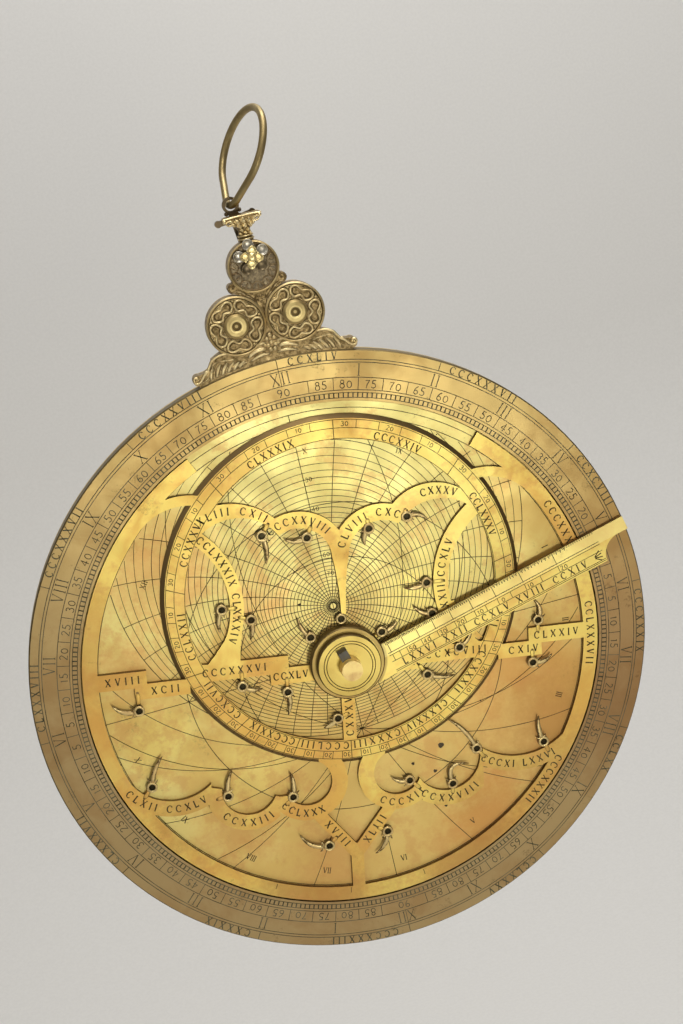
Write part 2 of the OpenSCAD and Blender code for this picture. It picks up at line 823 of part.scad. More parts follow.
// Five looped lobes round a collar, lying on the field of a lower roundel
module tracery(side) {
    lobes = 5;
    lobe_r = (roundel_r - rim_w - boss_r - 0.9) / 2;
    lobe_at = roundel_r - rim_w - 0.15 - lobe_r;
    strand = 0.85;
    color(bronze) at_height(side * roundel_x, roundel_z) slab(field_y - tracery_h, tracery_h) {
        annulus(boss_r + 1.7, boss_r + 0.4);
        for (i = [0 : lobes - 1]) rotate(90 + side * 18 + i * 360 / lobes)
            translate([lobe_at, 0]) annulus(lobe_r, lobe_r - strand);
    }
}

module tracery_left() { tracery(-1); }
module tracery_right() { tracery(1); }

module boss(side) {
    dish_r = boss_r * 0.36;
    color(rete_brass) at_height(side * roundel_x, roundel_z) turned(field_y - boss_h) polygon([
        [0, 1.2], [dish_r, 1.2], [dish_r, 0.3], [dish_r + 0.4, 0], [boss_r * 0.8, 0.1],
        [boss_r, 0.9], [boss_r, boss_h], [0, boss_h]
    ]);
}

module boss_left() { boss(-1); }
module boss_right() { boss(1); }

// Rosette on the shackle pin
module petals(count, r, at, turn) {
    for (i = [0 : count - 1]) rotate(turn + i * 360 / count) translate([at, 0]) circle(r, $fn = 48);
}

// Its petals reach over the rim of the roundel, and its foot stands on the field
module rosette_silver() {
    color(silver) at_height(0, pivot_z) {
        slab(rosette_y - silver_t, silver_t) difference() {
            union() {
                circle(4.2, $fn = 48);
                petals(5, 2.4, 5.9, 97);
            }
            circle(pivot_r + bore_gap, $fn = 48);
        }
        slab(rosette_y - 0.1, field_y - rosette_y + 0.1) annulus(3, pivot_r + bore_gap);
    }
}

module rosette_gilt() {
    color(gilt) at_height(0, pivot_z) slab(rosette_y - silver_t - gilt_t, gilt_t) difference() {
        union() {
            circle(2.6, $fn = 48);
            petals(4, 1.5, 2.4, 75);
        }
        circle(pivot_r + bore_gap, $fn = 48);
    }
}

module rosette_pin() {
    front_y = rosette_y - silver_t - gilt_t;
    shank = shackle_y + shackle_t + play - front_y;
    dome = 0.8;
    color(gilt) at_height(0, pivot_z) turned(front_y - dome) polygon([
        [0, 0], [0.9, 0.1], [1.6, 0.4], [2, dome], [pivot_r, dome],
        [pivot_r, shank + dome], [3, shank + dome], [3, shank + 2 * dome],
        [2.4, shank + 2.5 * dome], [0, shank + 2.5 * dome]
    ]);
}

// Shackle and ring
module shackle_plan() {
    lobe = [8.2, 17.7];
    difference() {
        union() {
            circle(3.6, $fn = 48);
            translate([-2.3, 0]) square([4.6, shackle_len - eye_in_r - 0.8]);
            both_sides() {
                translate(lobe) circle(1.6, $fn = 48);
                polygon([[0, 14.5], [4, 16.2], [8.4, 16.4], [8.4, 19], [3.5, 18.8], [0, 20.5]]);
            }
            translate([0, shackle_len]) circle(eye_out_r, $fn = 64);
        }
        circle(pivot_r + bore_gap, $fn = 48);
        translate([0, shackle_len]) circle(eye_in_r, $fn = 64);
    }
}

module shackle() {
    color(bronze) at_height(0, pivot_z) rotate([0, shackle_lean, 0]) {
        slab(shackle_y, shackle_t) shackle_plan();
        for (side = [-1, 1]) translate([side * 3.1, wire_y, shackle_len - 3.1]) sphere(1);
    }
}

// Bend of the wire about the middle of a circle, between two angles
module wire_bend(r, from, to) {
    far = 2 * (r + wire_r);
    steps = 6;
    intersection() {
        rotate_extrude() translate([r, 0]) circle(wire_r, $fn = 48);
        translate([0, 0, -2 * wire_r]) linear_extrude(4 * wire_r) polygon(concat([[0, 0]],
            [for (i = [0 : steps]) let (a = from + (to - from) * i / steps) far * [cos(a), sin(a)]]));
    }
}

// Wire loop with a wide and a narrow bend and straight legs, drawn in X and Y with the eye at 0.
// The legs are drawn a touch thinner than the bends and run a little way into them.
module wire_loop() {
    translate([0, ring_rise, 0]) wire_bend(ring_top_r, -ring_slope, 180 + ring_slope);
    translate([0, ring_bend_r, 0]) {
        wire_bend(ring_bend_r, 180 + ring_slope, 360 - ring_slope);
        both_sides() rotate([0, 0, -ring_slope]) translate([ring_bend_r, -leg_lap, 0])
            rotate([-90, 0, 0]) cylinder(r = wire_r - leg_drawn, h = ring_leg + 2 * leg_lap, $fn = 48);
    }
}

module suspension_ring() {
    color(bronze) translate([link[0], wire_y, link[1]]) rotate([0, ring_lean, 0])
        rotate([-ring_tip, 0, ring_twist]) rotate([90, 0, 90]) wire_loop();
}

back_plate();
limb();
plate_upper();
plate_middle();
plate_lower();
throne();
throne_dowels();
tracery_left();
tracery_right();
boss_left();
boss_right();
rosette_silver();
rosette_gilt();
rosette_pin();
shackle();
suspension_ring();
main_pin();
washer();
wedge();
rete();
star_pointers();
rule();
alidade();
vane_left();
vane_right();
vane_pin_left();
vane_pin_right();
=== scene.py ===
"""Looks of a planispheric astrolabe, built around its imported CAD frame.

Lengths are in millimetres in the CAD frame (X right, Z up, the front faces look along -Y),
and turn to metres only where a mesh is written or a length goes into a shader.
"""

import bisect
import math
import random

import bmesh
import bpy
from mathutils import Matrix, Vector


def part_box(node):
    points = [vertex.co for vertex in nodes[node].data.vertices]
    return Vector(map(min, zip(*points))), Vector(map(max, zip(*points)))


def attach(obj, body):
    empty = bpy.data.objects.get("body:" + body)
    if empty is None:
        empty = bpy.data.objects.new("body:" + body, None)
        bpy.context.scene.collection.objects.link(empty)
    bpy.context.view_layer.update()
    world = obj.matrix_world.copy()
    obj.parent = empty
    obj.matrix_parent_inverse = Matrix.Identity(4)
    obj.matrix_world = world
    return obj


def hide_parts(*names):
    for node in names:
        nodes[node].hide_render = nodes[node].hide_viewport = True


MM = 0.001

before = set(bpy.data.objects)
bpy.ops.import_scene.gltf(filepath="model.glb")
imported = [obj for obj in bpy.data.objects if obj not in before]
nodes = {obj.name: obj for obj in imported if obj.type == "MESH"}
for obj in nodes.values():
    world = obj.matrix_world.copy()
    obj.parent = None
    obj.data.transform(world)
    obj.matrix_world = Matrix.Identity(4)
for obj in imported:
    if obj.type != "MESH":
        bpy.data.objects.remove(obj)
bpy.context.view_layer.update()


def face_y(node, end=0):
    """Depth of a CAD node's front face, or of its rear one with end 1."""
    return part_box(node)[end][1] / MM


# Depths of the faces, from the CAD frame
LIMB_Y = face_y("limb")
PLATE_Y = face_y("plate_upper")
RETE_Y = face_y("rete")
REAR_Y = face_y("back_plate", 1)
THRONE_Y = face_y("throne")
BASE_Y = THRONE_Y + 0.9
RULE_FACE_Y = face_y("rule") + 0.7
RULE_EDGE_Y = RULE_FACE_Y + 1.1
BAR_T = 3.0
BAR_Y = face_y("alidade") + BAR_T
# How far an engraved line stands in front of its face
CUT = 0.015

# Places that the drawing of part.scad gives
AXIS = (0, 0)
RING_IN_R = 118.4
ECLIPTIC_Z = 33.6
ECLIPTIC_OUT_R = 84.2
ECLIPTIC_IN_R = 74.4
RETE_TURN = math.radians(-9.5)
RULE_TURN = math.radians(13.4)
RULE_BEVEL = 6.5
ROUNDEL_X = 13.75
ROUNDEL_Z = 168.8
FIELD_Y = 16.9
TOP_Z = 193.0
PIVOT_Z = 197.5

# Projection of the sky: the inner edge of the rete's ring is the tropic of Capricorn
OBLIQUITY = math.radians(23.5)
LATITUDE = math.radians(51)
EQUATOR_R = RING_IN_R * math.tan((math.pi / 2 - OBLIQUITY) / 2)


def sky_radius(declination):
    """Radius of a circle of declination in the projection."""
    return EQUATOR_R * math.tan((math.pi / 2 - declination) / 2)


CANCER_R = sky_radius(OBLIQUITY)


# Camera, lamps and studio

def make_camera():
    data = bpy.data.cameras.new("camera")
    data.lens = 59.47
    data.sensor_width = 36
    data.sensor_fit = "AUTO"
    data.shift_x = 0.00635
    data.shift_y = 0.00244
    data.clip_start = 0.05
    data.clip_end = 20
    camera = bpy.data.objects.new("camera", data)
    bpy.context.scene.collection.objects.link(camera)
    right = Vector((0.96000, -0.17622, -0.21758))
    up = Vector((0.25620, 0.23941, 0.93651))
    back = Vector((-0.11294, -0.95479, 0.27498))
    turn = Matrix((right, up, back)).transposed().to_4x4()
    camera.matrix_world = Matrix.Translation((-0.07895, -0.74008, 0.28944)) @ turn
    bpy.context.scene.camera = camera
    bpy.context.scene.view_settings.view_transform = "Standard"


def area_lamp(name, place, aim, size, power, colour):
    """A round lamp, places and size in metres."""
    data = bpy.data.lights.new(name, "AREA")
    data.shape = "DISK"
    data.size = size
    data.energy = power
    data.color = colour
    lamp = bpy.data.objects.new(name, data)
    bpy.context.scene.collection.objects.link(lamp)
    lamp.location = place
    lamp.rotation_euler = (Vector(aim) - Vector(place)).to_track_quat("-Z", "Y").to_euler()


def studio_cove():
    """Floor and backdrop in one sheet of paper, in metres, with a round bend between them."""
    near_y, floor_z, wall_y, top_z, bend, half = -3.0, -0.80, 1.60, 3.6, 0.60, 4.0
    steps = 12
    line = [(near_y, floor_z)]
    for i in range(steps + 1):
        a = math.radians(90 * i / steps)
        line.append((wall_y - bend + bend * math.sin(a), floor_z + bend - bend * math.cos(a)))
    line.append((wall_y, top_z))
    mesh = bpy.data.meshes.new("studio_cove")
    verts = [(x, y, z) for y, z in line for x in (-half, half)]
    faces = [(2 * i, 2 * i + 1, 2 * i + 3, 2 * i + 2) for i in range(len(line) - 1)]
    mesh.from_pydata(verts, [], faces)
    for polygon in mesh.polygons:
        polygon.use_smooth = True
    cove = bpy.data.objects.new("studio_cove", mesh)
    bpy.context.scene.collection.objects.link(cove)
    paper, net, shader = new_material("studio_paper")
    grain = net.ramp(net.noise(net.coordinate("Object"), 260.0, 3.0, 0.6), 0.3, 0.7)
    net.feed(shader["Base Color"], net.blend(grain, (0.80, 0.79, 0.77), (0.83, 0.82, 0.80)))
    net.feed(shader["Roughness"], 0.9)
    mesh.materials.append(paper)


def set_world():
    world = bpy.data.worlds.new("studio")
    bpy.context.scene.world = world
    world.use_nodes = True
    tree = world.node_tree
    tree.nodes.clear()
    out = tree.nodes.new("ShaderNodeOutputWorld")
    room = tree.nodes.new("ShaderNodeBackground")
    room.inputs["Color"].default_value = (1.0, 0.95, 0.86, 1)
    room.inputs["Strength"].default_value = 0.21
    tree.links.new(room.outputs[0], out.inputs["Surface"])


# Shader nodes

VECTOR, COLOUR, FLOAT = "NodeSocketVector", "NodeSocketColor", "NodeSocketFloat"
# Numbers of the colour sockets of a Mix node
MIX_A, MIX_B, MIX_RESULT = 6, 7, 2


class Signal:
    """An output of a node. Sums, differences and products with it make Math nodes."""

    def __init__(self, net, socket):
        self.net = net
        self.socket = socket

    def __add__(self, other):
        return self.net.maths("ADD", self, other)

    def __sub__(self, other):
        return self.net.maths("SUBTRACT", self, other)

    def __mul__(self, other):
        return self.net.maths("MULTIPLY", self, other)


class Net:
    """A node tree, with a short call for each kind of node. Values are numbers, tuples or signals."""

    def __init__(self, tree):
        self.tree = tree

    def feed(self, socket, value):
        if isinstance(value, Signal):
            self.tree.links.new(value.socket, socket)
        elif isinstance(value, tuple) and socket.type == "RGBA":
            socket.default_value = (*value, 1)
        else:
            socket.default_value = value

    def new(self, kind):
        return self.tree.nodes.new(kind)

    def wire(self, node, output, inputs):
        """Feeds a node's inputs, by name or number, and gives one of its outputs."""
        for label, value in inputs.items():
            self.feed(node.inputs[label], value)
        return Signal(self, node.outputs[output])

    def coordinate(self, kind):
        return self.wire(self.new("ShaderNodeTexCoord"), kind, {})

    def part(self, vector, axis):
        return self.wire(self.new("ShaderNodeSeparateXYZ"), axis, {0: vector})

    def noise(self, vector, scale, detail=4.0, roughness=0.55, distortion=0.0):
        inputs = {"Vector": vector, "Scale": scale, "Detail": detail, "Roughness": roughness,
                  "Distortion": distortion}
        return self.wire(self.new("ShaderNodeTexNoise"), "Fac", inputs)

    def ramp(self, value, low, high, to_low=0.0, to_high=1.0):
        """A soft step from to_low to to_high while the value goes from low to high."""
        node = self.new("ShaderNodeMapRange")
        node.interpolation_type = "SMOOTHSTEP"
        inputs = {"Value": value, "From Min": low, "From Max": high, "To Min": to_low, "To Max": to_high}
        return self.wire(node, "Result", inputs)

    def rising(self, value, low, high):
        """0 below low and 1 above high, both in millimetres."""
        return self.ramp(value, low * MM, high * MM)

    def falling(self, value, low, high, most=1.0):
        """most below low and 0 above high, both in millimetres."""
        return self.ramp(value, low * MM, high * MM, most, 0.0)

    def maths(self, operation, *values):
        node = self.new("ShaderNodeMath")
        node.operation = operation
        return self.wire(node, 0, dict(enumerate(values)))

    def blend(self, factor, a, b, mode="MIX"):
        node = self.new("ShaderNodeMix")
        node.data_type = "RGBA"
        node.blend_type = mode
        return self.wire(node, MIX_RESULT, {0: factor, MIX_A: a, MIX_B: b})

    def vector_maths(self, operation, output, a, b):
        node = self.new("ShaderNodeVectorMath")
        node.operation = operation
        return self.wire(node, output, {0: a, 1: b})

    def distance(self, vector, x, z):
        """Distance from an axis along Y, which is given in millimetres."""
        flat = self.vector_maths("MULTIPLY", "Vector", vector, (1, 0, 1))
        return self.vector_maths("DISTANCE", "Value", flat, (x * MM, 0, z * MM))

    def group(self, group, **values):
        """Places a node group and gives its outputs by name."""
        node = self.new("ShaderNodeGroup")
        node.node_tree = group
        for label, value in values.items():
            self.feed(node.inputs[label.replace("_", " ")], value)
        return {socket.name: Signal(self, socket) for socket in node.outputs}


def new_group(name, inputs, outputs):
    """A node group: its net, the signals that it is given, and the sockets of its results."""
    group = bpy.data.node_groups.new(name, "ShaderNodeTree")
    for label, kind, value in inputs:
        socket = group.interface.new_socket(name=label, in_out="INPUT", socket_type=kind)
        if value is not None:
            socket.default_value = value
    for label, kind in outputs:
        group.interface.new_socket(name=label, in_out="OUTPUT", socket_type=kind)
    net = Net(group)
    given = group.nodes.new("NodeGroupInput").outputs
    result = group.nodes.new("NodeGroupOutput").inputs
    return net, [Signal(net, given[label]) for label, _, _ in inputs], result


def new_material(name):
    """A material, the net of its nodes, and the inputs of its Principled shader."""
    material = bpy.data.materials.new(name)
    material.use_nodes = True
    tree = material.node_tree
    return material, Net(tree), tree.nodes["Principled BSDF"].inputs


def patina_group():
    """Brass that has gone warm in large blotches and dark in small spots."""
    net, given, result = new_group(
        "Brass patina",
        [("Vector", VECTOR, None), ("Clean", COLOUR, (0.8, 0.6, 0.25, 1)),
         ("Warm", COLOUR, (0.7, 0.4, 0.12, 1)), ("Dark", COLOUR, (0.3, 0.2, 0.08, 1)),
         ("Blotch Size", FLOAT, 30.0), ("Warm Amount", FLOAT, 0.5), ("Spot Amount", FLOAT, 0.3)],
        [("Color", COLOUR), ("Tarnish", FLOAT)])
    vector, clean, warm_colour, dark_colour, blotch_size, warm_amount, spot_amount = given
    broad = net.noise(vector, blotch_size, 3.0, 0.5, 0.6)
    fine = net.noise(vector, blotch_size * 4.3, 5.0, 0.65, 0.8)
    warm = net.ramp(broad * 0.68 + fine * 0.32, 0.44, 0.62) * warm_amount
    spots = net.noise(vector, 900.0, 3.0, 0.7)
    patches = net.ramp(net.noise(vector, 95.0, 4.0, 0.7, 0.4), 0.35, 0.7)
    dark = net.ramp(spots * patches, 0.42, 0.62) * spot_amount
    colour = net.blend(warm, clean, warm_colour)
    net.feed(result["Color"], net.blend(dark, colour, dark_colour))
    net.feed(result["Tarnish"], net.maths("MAXIMUM", warm, dark))
    return net.tree


def hand_finish_group():
    """Fine scratches and hammer waves left by hand work, as a height and a change of roughness."""
    net, (vector, scratch_turn, wave_size), result = new_group(
        "Hand finish",
        [("Vector", VECTOR, None), ("Scratch Turn", FLOAT, 0.4), ("Wave Size", FLOAT, 60.0)],
        [("Height", FLOAT), ("Roughness Shift", FLOAT)])
    scratches = []
    for turn, scale in ((0.0, 1.0), (1.1, 1.3)):
        rotate = net.new("ShaderNodeVectorRotate")
        rotate.rotation_type = "Y_AXIS"
        rotated = net.wire(rotate, 0, {"Vector": vector, "Angle": scratch_turn + turn})
        stretch = (60 * scale, 900 * scale, 2600 * scale)
        grain = net.wire(net.new("ShaderNodeMapping"), 0, {"Vector": rotated, "Scale": stretch})
        scratches.append(net.ramp(net.noise(grain, 1.0, 2.0, 0.5), 0.52, 0.72))
    waves = net.noise(vector, wave_size, 3.0, 0.5)
    net.feed(result["Height"], waves - net.maths("MAXIMUM", *scratches) * 0.12)
    net.feed(result["Roughness Shift"], (waves - 0.5) * 0.25)
    return net.tree


def worn_relief_group():
    """Mask that is 1 on the high parts of a casting and 0 in its depths, with a worn, uneven border. The
    depths get painted shade.
    """
    net, (vector, high_y, deep_y), result = new_group(
        "Relief shade mask",
        [("Vector", VECTOR, None), ("High Y", FLOAT, 0.015), ("Deep Y", FLOAT, 0.017)],
        [("High", FLOAT)])
    uneven = (net.noise(vector, 420.0, 4.0, 0.7) - 0.5) * 0.0012
    net.feed(result["High"], net.ramp(net.part(vector, "Y") + uneven, high_y, deep_y, 1.0, 0.0))
    return net.tree


PATINA = patina_group()
HAND_FINISH = hand_finish_group()
RELIEF_SHADE_MASK = worn_relief_group()

# Share of a face's normal along Y between which the painted shade of steep faces, and the painted highlight
# of leaning faces, goes over to the face's own colour
STEEP = (0.84, 0.92)
LEANING = (0.978, 0.992)


def metal(name, clean, warm, dark, blotch, warm_amount, spot_amount, rough,
          bump=0.12, wave=60.0, scratch_turn=0.4, tint=None, steep_shade=None, slope=None):
    """A metal with patina, hand finish and bump. tint(net, vector, colour) may change the colour further.
    The colour given for steep faces is painted shade on walls and bevels, and the one given for slopes a
    painted highlight on a face that leans a little."""
    material, net, shader = new_material(name)
    vector = net.coordinate("Object")
    patina = net.group(PATINA, Vector=vector, Clean=clean, Warm=warm, Dark=dark, Blotch_Size=blotch,
                       Warm_Amount=warm_amount, Spot_Amount=spot_amount)
    finish = net.group(HAND_FINISH, Vector=vector, Scratch_Turn=scratch_turn, Wave_Size=wave)
    colour = patina["Color"]
    if tint:
        colour = tint(net, vector, colour)
    # Painted shade on steep walls and bevels, and a painted highlight on faces that lean a little
    if steep_shade:
        facing = net.maths("ABSOLUTE", net.part(net.coordinate("Normal"), "Y"))
        if slope:
            colour = net.blend(net.ramp(facing, *LEANING), slope, colour)
        colour = net.blend(net.ramp(facing, *STEEP), steep_shade, colour)
    net.feed(shader["Base Color"], colour)
    net.feed(shader["Roughness"], finish["Roughness Shift"] + patina["Tarnish"] * 0.10 + rough)
    net.feed(shader["Metallic"], 1.0)
    relief = {"Strength": bump, "Distance": 0.4 * MM, "Height": finish["Height"]}
    net.feed(shader["Normal"], net.wire(net.new("ShaderNodeBump"), 0, relief))
    return material


def worn_crests(net, vector, high_y, deep_y):
    """1 on crests in front of high_y, 0 behind deep_y."""
    return net.group(RELIEF_SHADE_MASK, Vector=vector, High_Y=high_y * MM, Deep_Y=deep_y * MM)["High"]


# Dark brown for the depths of the carving and the dark rings of the bosses: painted shade, with grime in the
# carving
SHADE_AND_GRIME = (0.15, 0.105, 0.045)
ORANGE = (0.74, 0.41, 0.145)
PALE = (0.98, 0.93, 0.42)
TAN = (0.85, 0.62, 0.22)
BROWNED = (0.56, 0.29, 0.095)
RUSSET = (0.72, 0.35, 0.105)
YELLOW = (1.0, 0.86, 0.28)


def throne_tint(net, vector, colour):
    """Painted shade and grime below the crests of the carving, greyer in the dish of the top roundel."""
    crests = worn_crests(net, vector, THRONE_Y + 0.45, BASE_Y - 0.05)
    clean = net.maths("MAXIMUM", crests, net.rising(net.part(vector, "Y"), 22.2, 23.0))
    in_dish = net.falling(net.distance(vector, 0, TOP_Z), 10.2, 10.7)
    mottle = net.ramp(net.noise(vector, 700.0, 3.0, 0.6), 0.35, 0.65)
    deep = net.blend(mottle, SHADE_AND_GRIME, (0.42, 0.310, 0.150))
    deep = net.blend(in_dish, deep, net.blend(mottle, (0.155, 0.124, 0.082), (0.31, 0.250, 0.155)))
    return net.blend(clean, deep, colour)


def limb_tint(net, vector, colour):
    """Lighter towards the top and darker towards the left and lower side: painted highlight and painted
    shade.
    It is also darker and redder at the right."""
    cloud = net.noise(vector, 9.0, 3.0, 0.6) * 0.12
    # Painted highlight towards the top and painted shade towards the lower left
    lift = net.part(vector, "X") * 0.25 + net.part(vector, "Z")
    clean = net.ramp(lift + cloud, 0.02, 0.21)
    worn = net.falling(net.distance(vector, 152, -34), 25, 95)
    colour = net.blend(worn, colour, net.blend(1.0, colour, (0.84, 0.75, 0.74), "MULTIPLY"))
    shade = net.blend(clean, (0.90, 0.89, 1.0), (1.32, 1.34, 1.24))
    return net.blend(1.0, colour, shade, "MULTIPLY")


def rule_tint(net, vector, colour):
    """Browner ring of the rule's disc round the washer: painted shade of its outward-facing step."""
    away = net.distance(vector, *AXIS)
    ring = net.rising(away, 15.2, 16.0) * net.falling(away, 18.6, 19.6)
    return net.blend(ring * 0.7, colour, (0.40, 0.27, 0.11))


def patch_tint(places):
    """Clouds of redder, yellower or paler colour at places of the disc, patina and on the plate also painted
    highlight and shade: (x, z, radius, colour, amount).
    Their uneven borders come from a noise that adds some 35 mm to every distance."""
    uneven = 35

    def tint(net, vector, colour):
        waver = net.noise(vector, 60.0, 6.0, 0.75) * (2 * uneven * MM)
        for x, z, radius, patina, amount in places:
            away = net.distance(vector, x, z) + waver
            inside = net.falling(away, radius * 0.1 + uneven, radius + uneven + 6, amount)
            colour = net.blend(inside, colour, patina)
        speckle = net.ramp(net.noise(vector, 75.0, 6.0, 0.72), 0.50, 0.64, 0.0, 0.45)
        return net.blend(speckle, colour, ORANGE)

    return tint


def boss_tint(net, vector, colour):
    """Brown shoulders, a bright lip round the dark well and a bead in it on the two bosses: the brown
    shoulders and the dark well are painted shade, the bright lip a painted highlight.
    """
    rings = ((2.9, 3.1, (0.84, 0.69, 0.33)), (1.9, 2.2, SHADE_AND_GRIME), (0.6, 0.9, (0.55, 0.43, 0.20)))
    for x in (-ROUNDEL_X, ROUNDEL_X):
        away = net.distance(vector, x, ROUNDEL_Z)
        shoulder = net.blend(net.rising(away, 8.0, 9.0), (0.46, 0.345, 0.155), colour)
        colour = net.blend(net.rising(away, 4.5, 5.0), colour, shoulder)
        for near, far, ring in rings:
            colour = net.blend(net.falling(away, near, far), colour, ring)
    return colour


def silver_tint(net, vector, colour):
    """The two lower petals are darker: painted shade."""
    clean = net.rising(net.part(vector, "Z"), PIVOT_Z - 3.0, PIVOT_Z - 0.5)
    return net.blend(clean, (0.21, 0.165, 0.10), colour)


def relief_tint(high_y, deep_y, deep):
    """Raised work with painted shade, of the colour deep, below its crests."""
    def tint(net, vector, colour):
        return net.blend(worn_crests(net, vector, high_y, deep_y), deep, colour)

    return tint


# The pale patch at the top lies where the lamp's highlight falls and paints the plate brighter and paler
# there, and the big tan patch at the bottom paints it darker and warmer where the light falls off: painted
# highlight and painted shade. The others are patina.
PLATE_PATCHES = (
    (0, -100, 160, TAN, 0.9), (0, 100, 80, PALE, 0.6), (-76, 66, 36, ORANGE, 0.7), (-98, 22, 22, ORANGE, 0.5),
    (88, -48, 74, RUSSET, 0.55), (100, 55, 40, TAN, 0.6), (76, -24, 26, RUSSET, 0.4),
    (50, -102, 34, RUSSET, 0.75), (94, -64, 34, BROWNED, 0.5), (-30, -100, 26, ORANGE, 0.6),
    (-72, -74, 18, ORANGE, 0.5), (-36, 40, 18, ORANGE, 0.5), (44, 20, 18, YELLOW, 0.6),
    (10, 92, 26, YELLOW, 0.4), (-96, -16, 20, YELLOW, 0.5), (-60, -44, 22, YELLOW, 0.4),
)
RETE_PATCHES = (
    (62, 66, 34, YELLOW, 0.9), (80, 24, 30, YELLOW, 0.9), (-66, 48, 24, ORANGE, 0.4),
    (-118, -10, 60, RUSSET, 0.3), (-118, 40, 40, BROWNED, 0.45), (-88, -56, 30, BROWNED, 0.6),
    (40, -116, 44, BROWNED, 0.8), (-40, -116, 40, BROWNED, 0.75), (52, 60, 12, ORANGE, 0.6),
    (112, 34, 22, ORANGE, 0.3), (-50, -66, 26, RUSSET, 0.4), (60, -78, 34, BROWNED, 0.45),
    (92, -84, 34, BROWNED, 0.5), (-30, 112, 26, ORANGE, 0.35),
)

# After the name: clean, warm and dark colour, scale of the blotches, amounts of warm clouds and of spots,
# and roughness
CAST = {"bump": 0.3, "wave": 500.0}
# The colours for steep faces below are painted shade, and the rule's colour for slopes is a painted highlight
# on its bevel
LIMB_BRASS = metal("limb_brass", (0.55, 0.405, 0.175), (0.47, 0.300, 0.115), (0.16, 0.11, 0.05),
                   16.0, 0.7, 0.35, 0.46, tint=limb_tint, steep_shade=(0.20, 0.15, 0.07))
PLATE_BRASS = metal("plate_brass", (0.91, 0.80, 0.315), (0.84, 0.57, 0.18), (0.26, 0.17, 0.06),
                    14.0, 0.8, 0.35, 0.48, scratch_turn=1.2, tint=patch_tint(PLATE_PATCHES))
RETE_BRASS = metal("rete_brass", (0.95, 0.75, 0.215), (0.88, 0.54, 0.145), (0.28, 0.18, 0.07),
                   20.0, 0.85, 0.30, 0.46, scratch_turn=2.0, tint=patch_tint(RETE_PATCHES),
                   steep_shade=(0.235, 0.160, 0.070))
HUB_BRASS = metal("hub_brass", (0.76, 0.60, 0.18), (0.68, 0.46, 0.12), (0.34, 0.22, 0.09),
                  40.0, 0.4, 0.2, 0.44, scratch_turn=0.9, steep_shade=(0.16, 0.11, 0.045))
RULE_BRASS = metal("rule_brass", (0.96, 0.78, 0.24), (0.88, 0.56, 0.17), (0.34, 0.22, 0.09),
                   34.0, 0.6, 0.25, 0.46, scratch_turn=0.2, tint=rule_tint, steep_shade=(0.18, 0.125, 0.05),
                   slope=(1.0, 0.90, 0.42))
BACK_BRASS = metal("back_brass", (0.66, 0.50, 0.20), (0.60, 0.38, 0.12), (0.22, 0.15, 0.07),
                   18.0, 0.6, 0.3, 0.44)
BAR_BRASS = metal("sighting_bar_brass", (0.88, 0.70, 0.27), (0.80, 0.51, 0.17), (0.30, 0.19, 0.08),
                  40.0, 0.6, 0.3, 0.44, steep_shade=(0.20, 0.14, 0.06))
VANE_BRASS = metal("vane_brass", (0.80, 0.63, 0.26), (0.70, 0.46, 0.16), (0.24, 0.16, 0.07),
                   70.0, 0.7, 0.35, 0.42)
PIN_COPPER = metal("pin_copper_brass", (1.0, 0.80, 0.34), (0.88, 0.60, 0.27), (0.40, 0.26, 0.12),
                   90.0, 0.7, 0.4, 0.50)
# The pointers, the throne and its carving and leaves are darkened below their crests: painted shade, with
# grime on the throne
POINTER_BRASS = metal("pointer_brass", (0.82, 0.64, 0.30), (0.66, 0.44, 0.18), (0.20, 0.13, 0.05),
                      120.0, 0.6, 0.4, 0.40,
                      tint=relief_tint(RETE_Y - 0.62, RETE_Y - 0.40, (0.15, 0.095, 0.04)))
THRONE_BRONZE = metal("throne_bronze", (0.76, 0.60, 0.31), (0.58, 0.42, 0.19), (0.10, 0.07, 0.03),
                      110.0, 0.7, 0.6, 0.44, bump=0.4, wave=420.0, tint=throne_tint)
CARVED_BRONZE = metal("carved_bronze", (0.90, 0.74, 0.41), (0.70, 0.52, 0.25), (0.22, 0.15, 0.07),
                      150.0, 0.6, 0.5, 0.38, **CAST,
                      tint=relief_tint(FIELD_Y - 0.75, FIELD_Y - 0.2, (0.13, 0.088, 0.038)))
CAPITAL_BRONZE = metal("capital_bronze", (0.96, 0.80, 0.46), (0.72, 0.56, 0.28), (0.22, 0.15, 0.07),
                       150.0, 0.6, 0.5, 0.36, **CAST)
LEAF_BRONZE = metal("leaf_bronze", (0.96, 0.79, 0.44), (0.74, 0.55, 0.27), (0.22, 0.15, 0.07),
                    150.0, 0.6, 0.5, 0.38, **CAST,
                    tint=relief_tint(BASE_Y - 0.6, BASE_Y, (0.20, 0.135, 0.06)))
# Near-black fill for the shade inside the pointers' eye holes: painted shade
SHADE_WELL = metal("painted_shade_well", (0.035, 0.030, 0.016), (0.03, 0.02, 0.01), (0.01, 0.01, 0.005),
             150.0, 0.5, 0.5, 0.40)
DARK_RELIEF = metal("dark_relief", (0.36, 0.27, 0.155), (0.28, 0.19, 0.10), (0.10, 0.07, 0.04),
                    150.0, 0.6, 0.5, 0.42, **CAST)
BOSS_BRASS = metal("boss_brass", (0.60, 0.48, 0.22), (0.50, 0.37, 0.16), (0.22, 0.15, 0.06),
                   120.0, 0.6, 0.4, 0.46, tint=boss_tint)
GILT = metal("gilt", (0.95, 0.80, 0.40), (0.86, 0.64, 0.26), (0.40, 0.26, 0.10), 160.0, 0.5, 0.2, 0.32)
SILVER = metal("silver", (0.58, 0.55, 0.48), (0.42, 0.38, 0.30), (0.12, 0.10, 0.08),
               200.0, 0.6, 0.5, 0.34, tint=silver_tint)
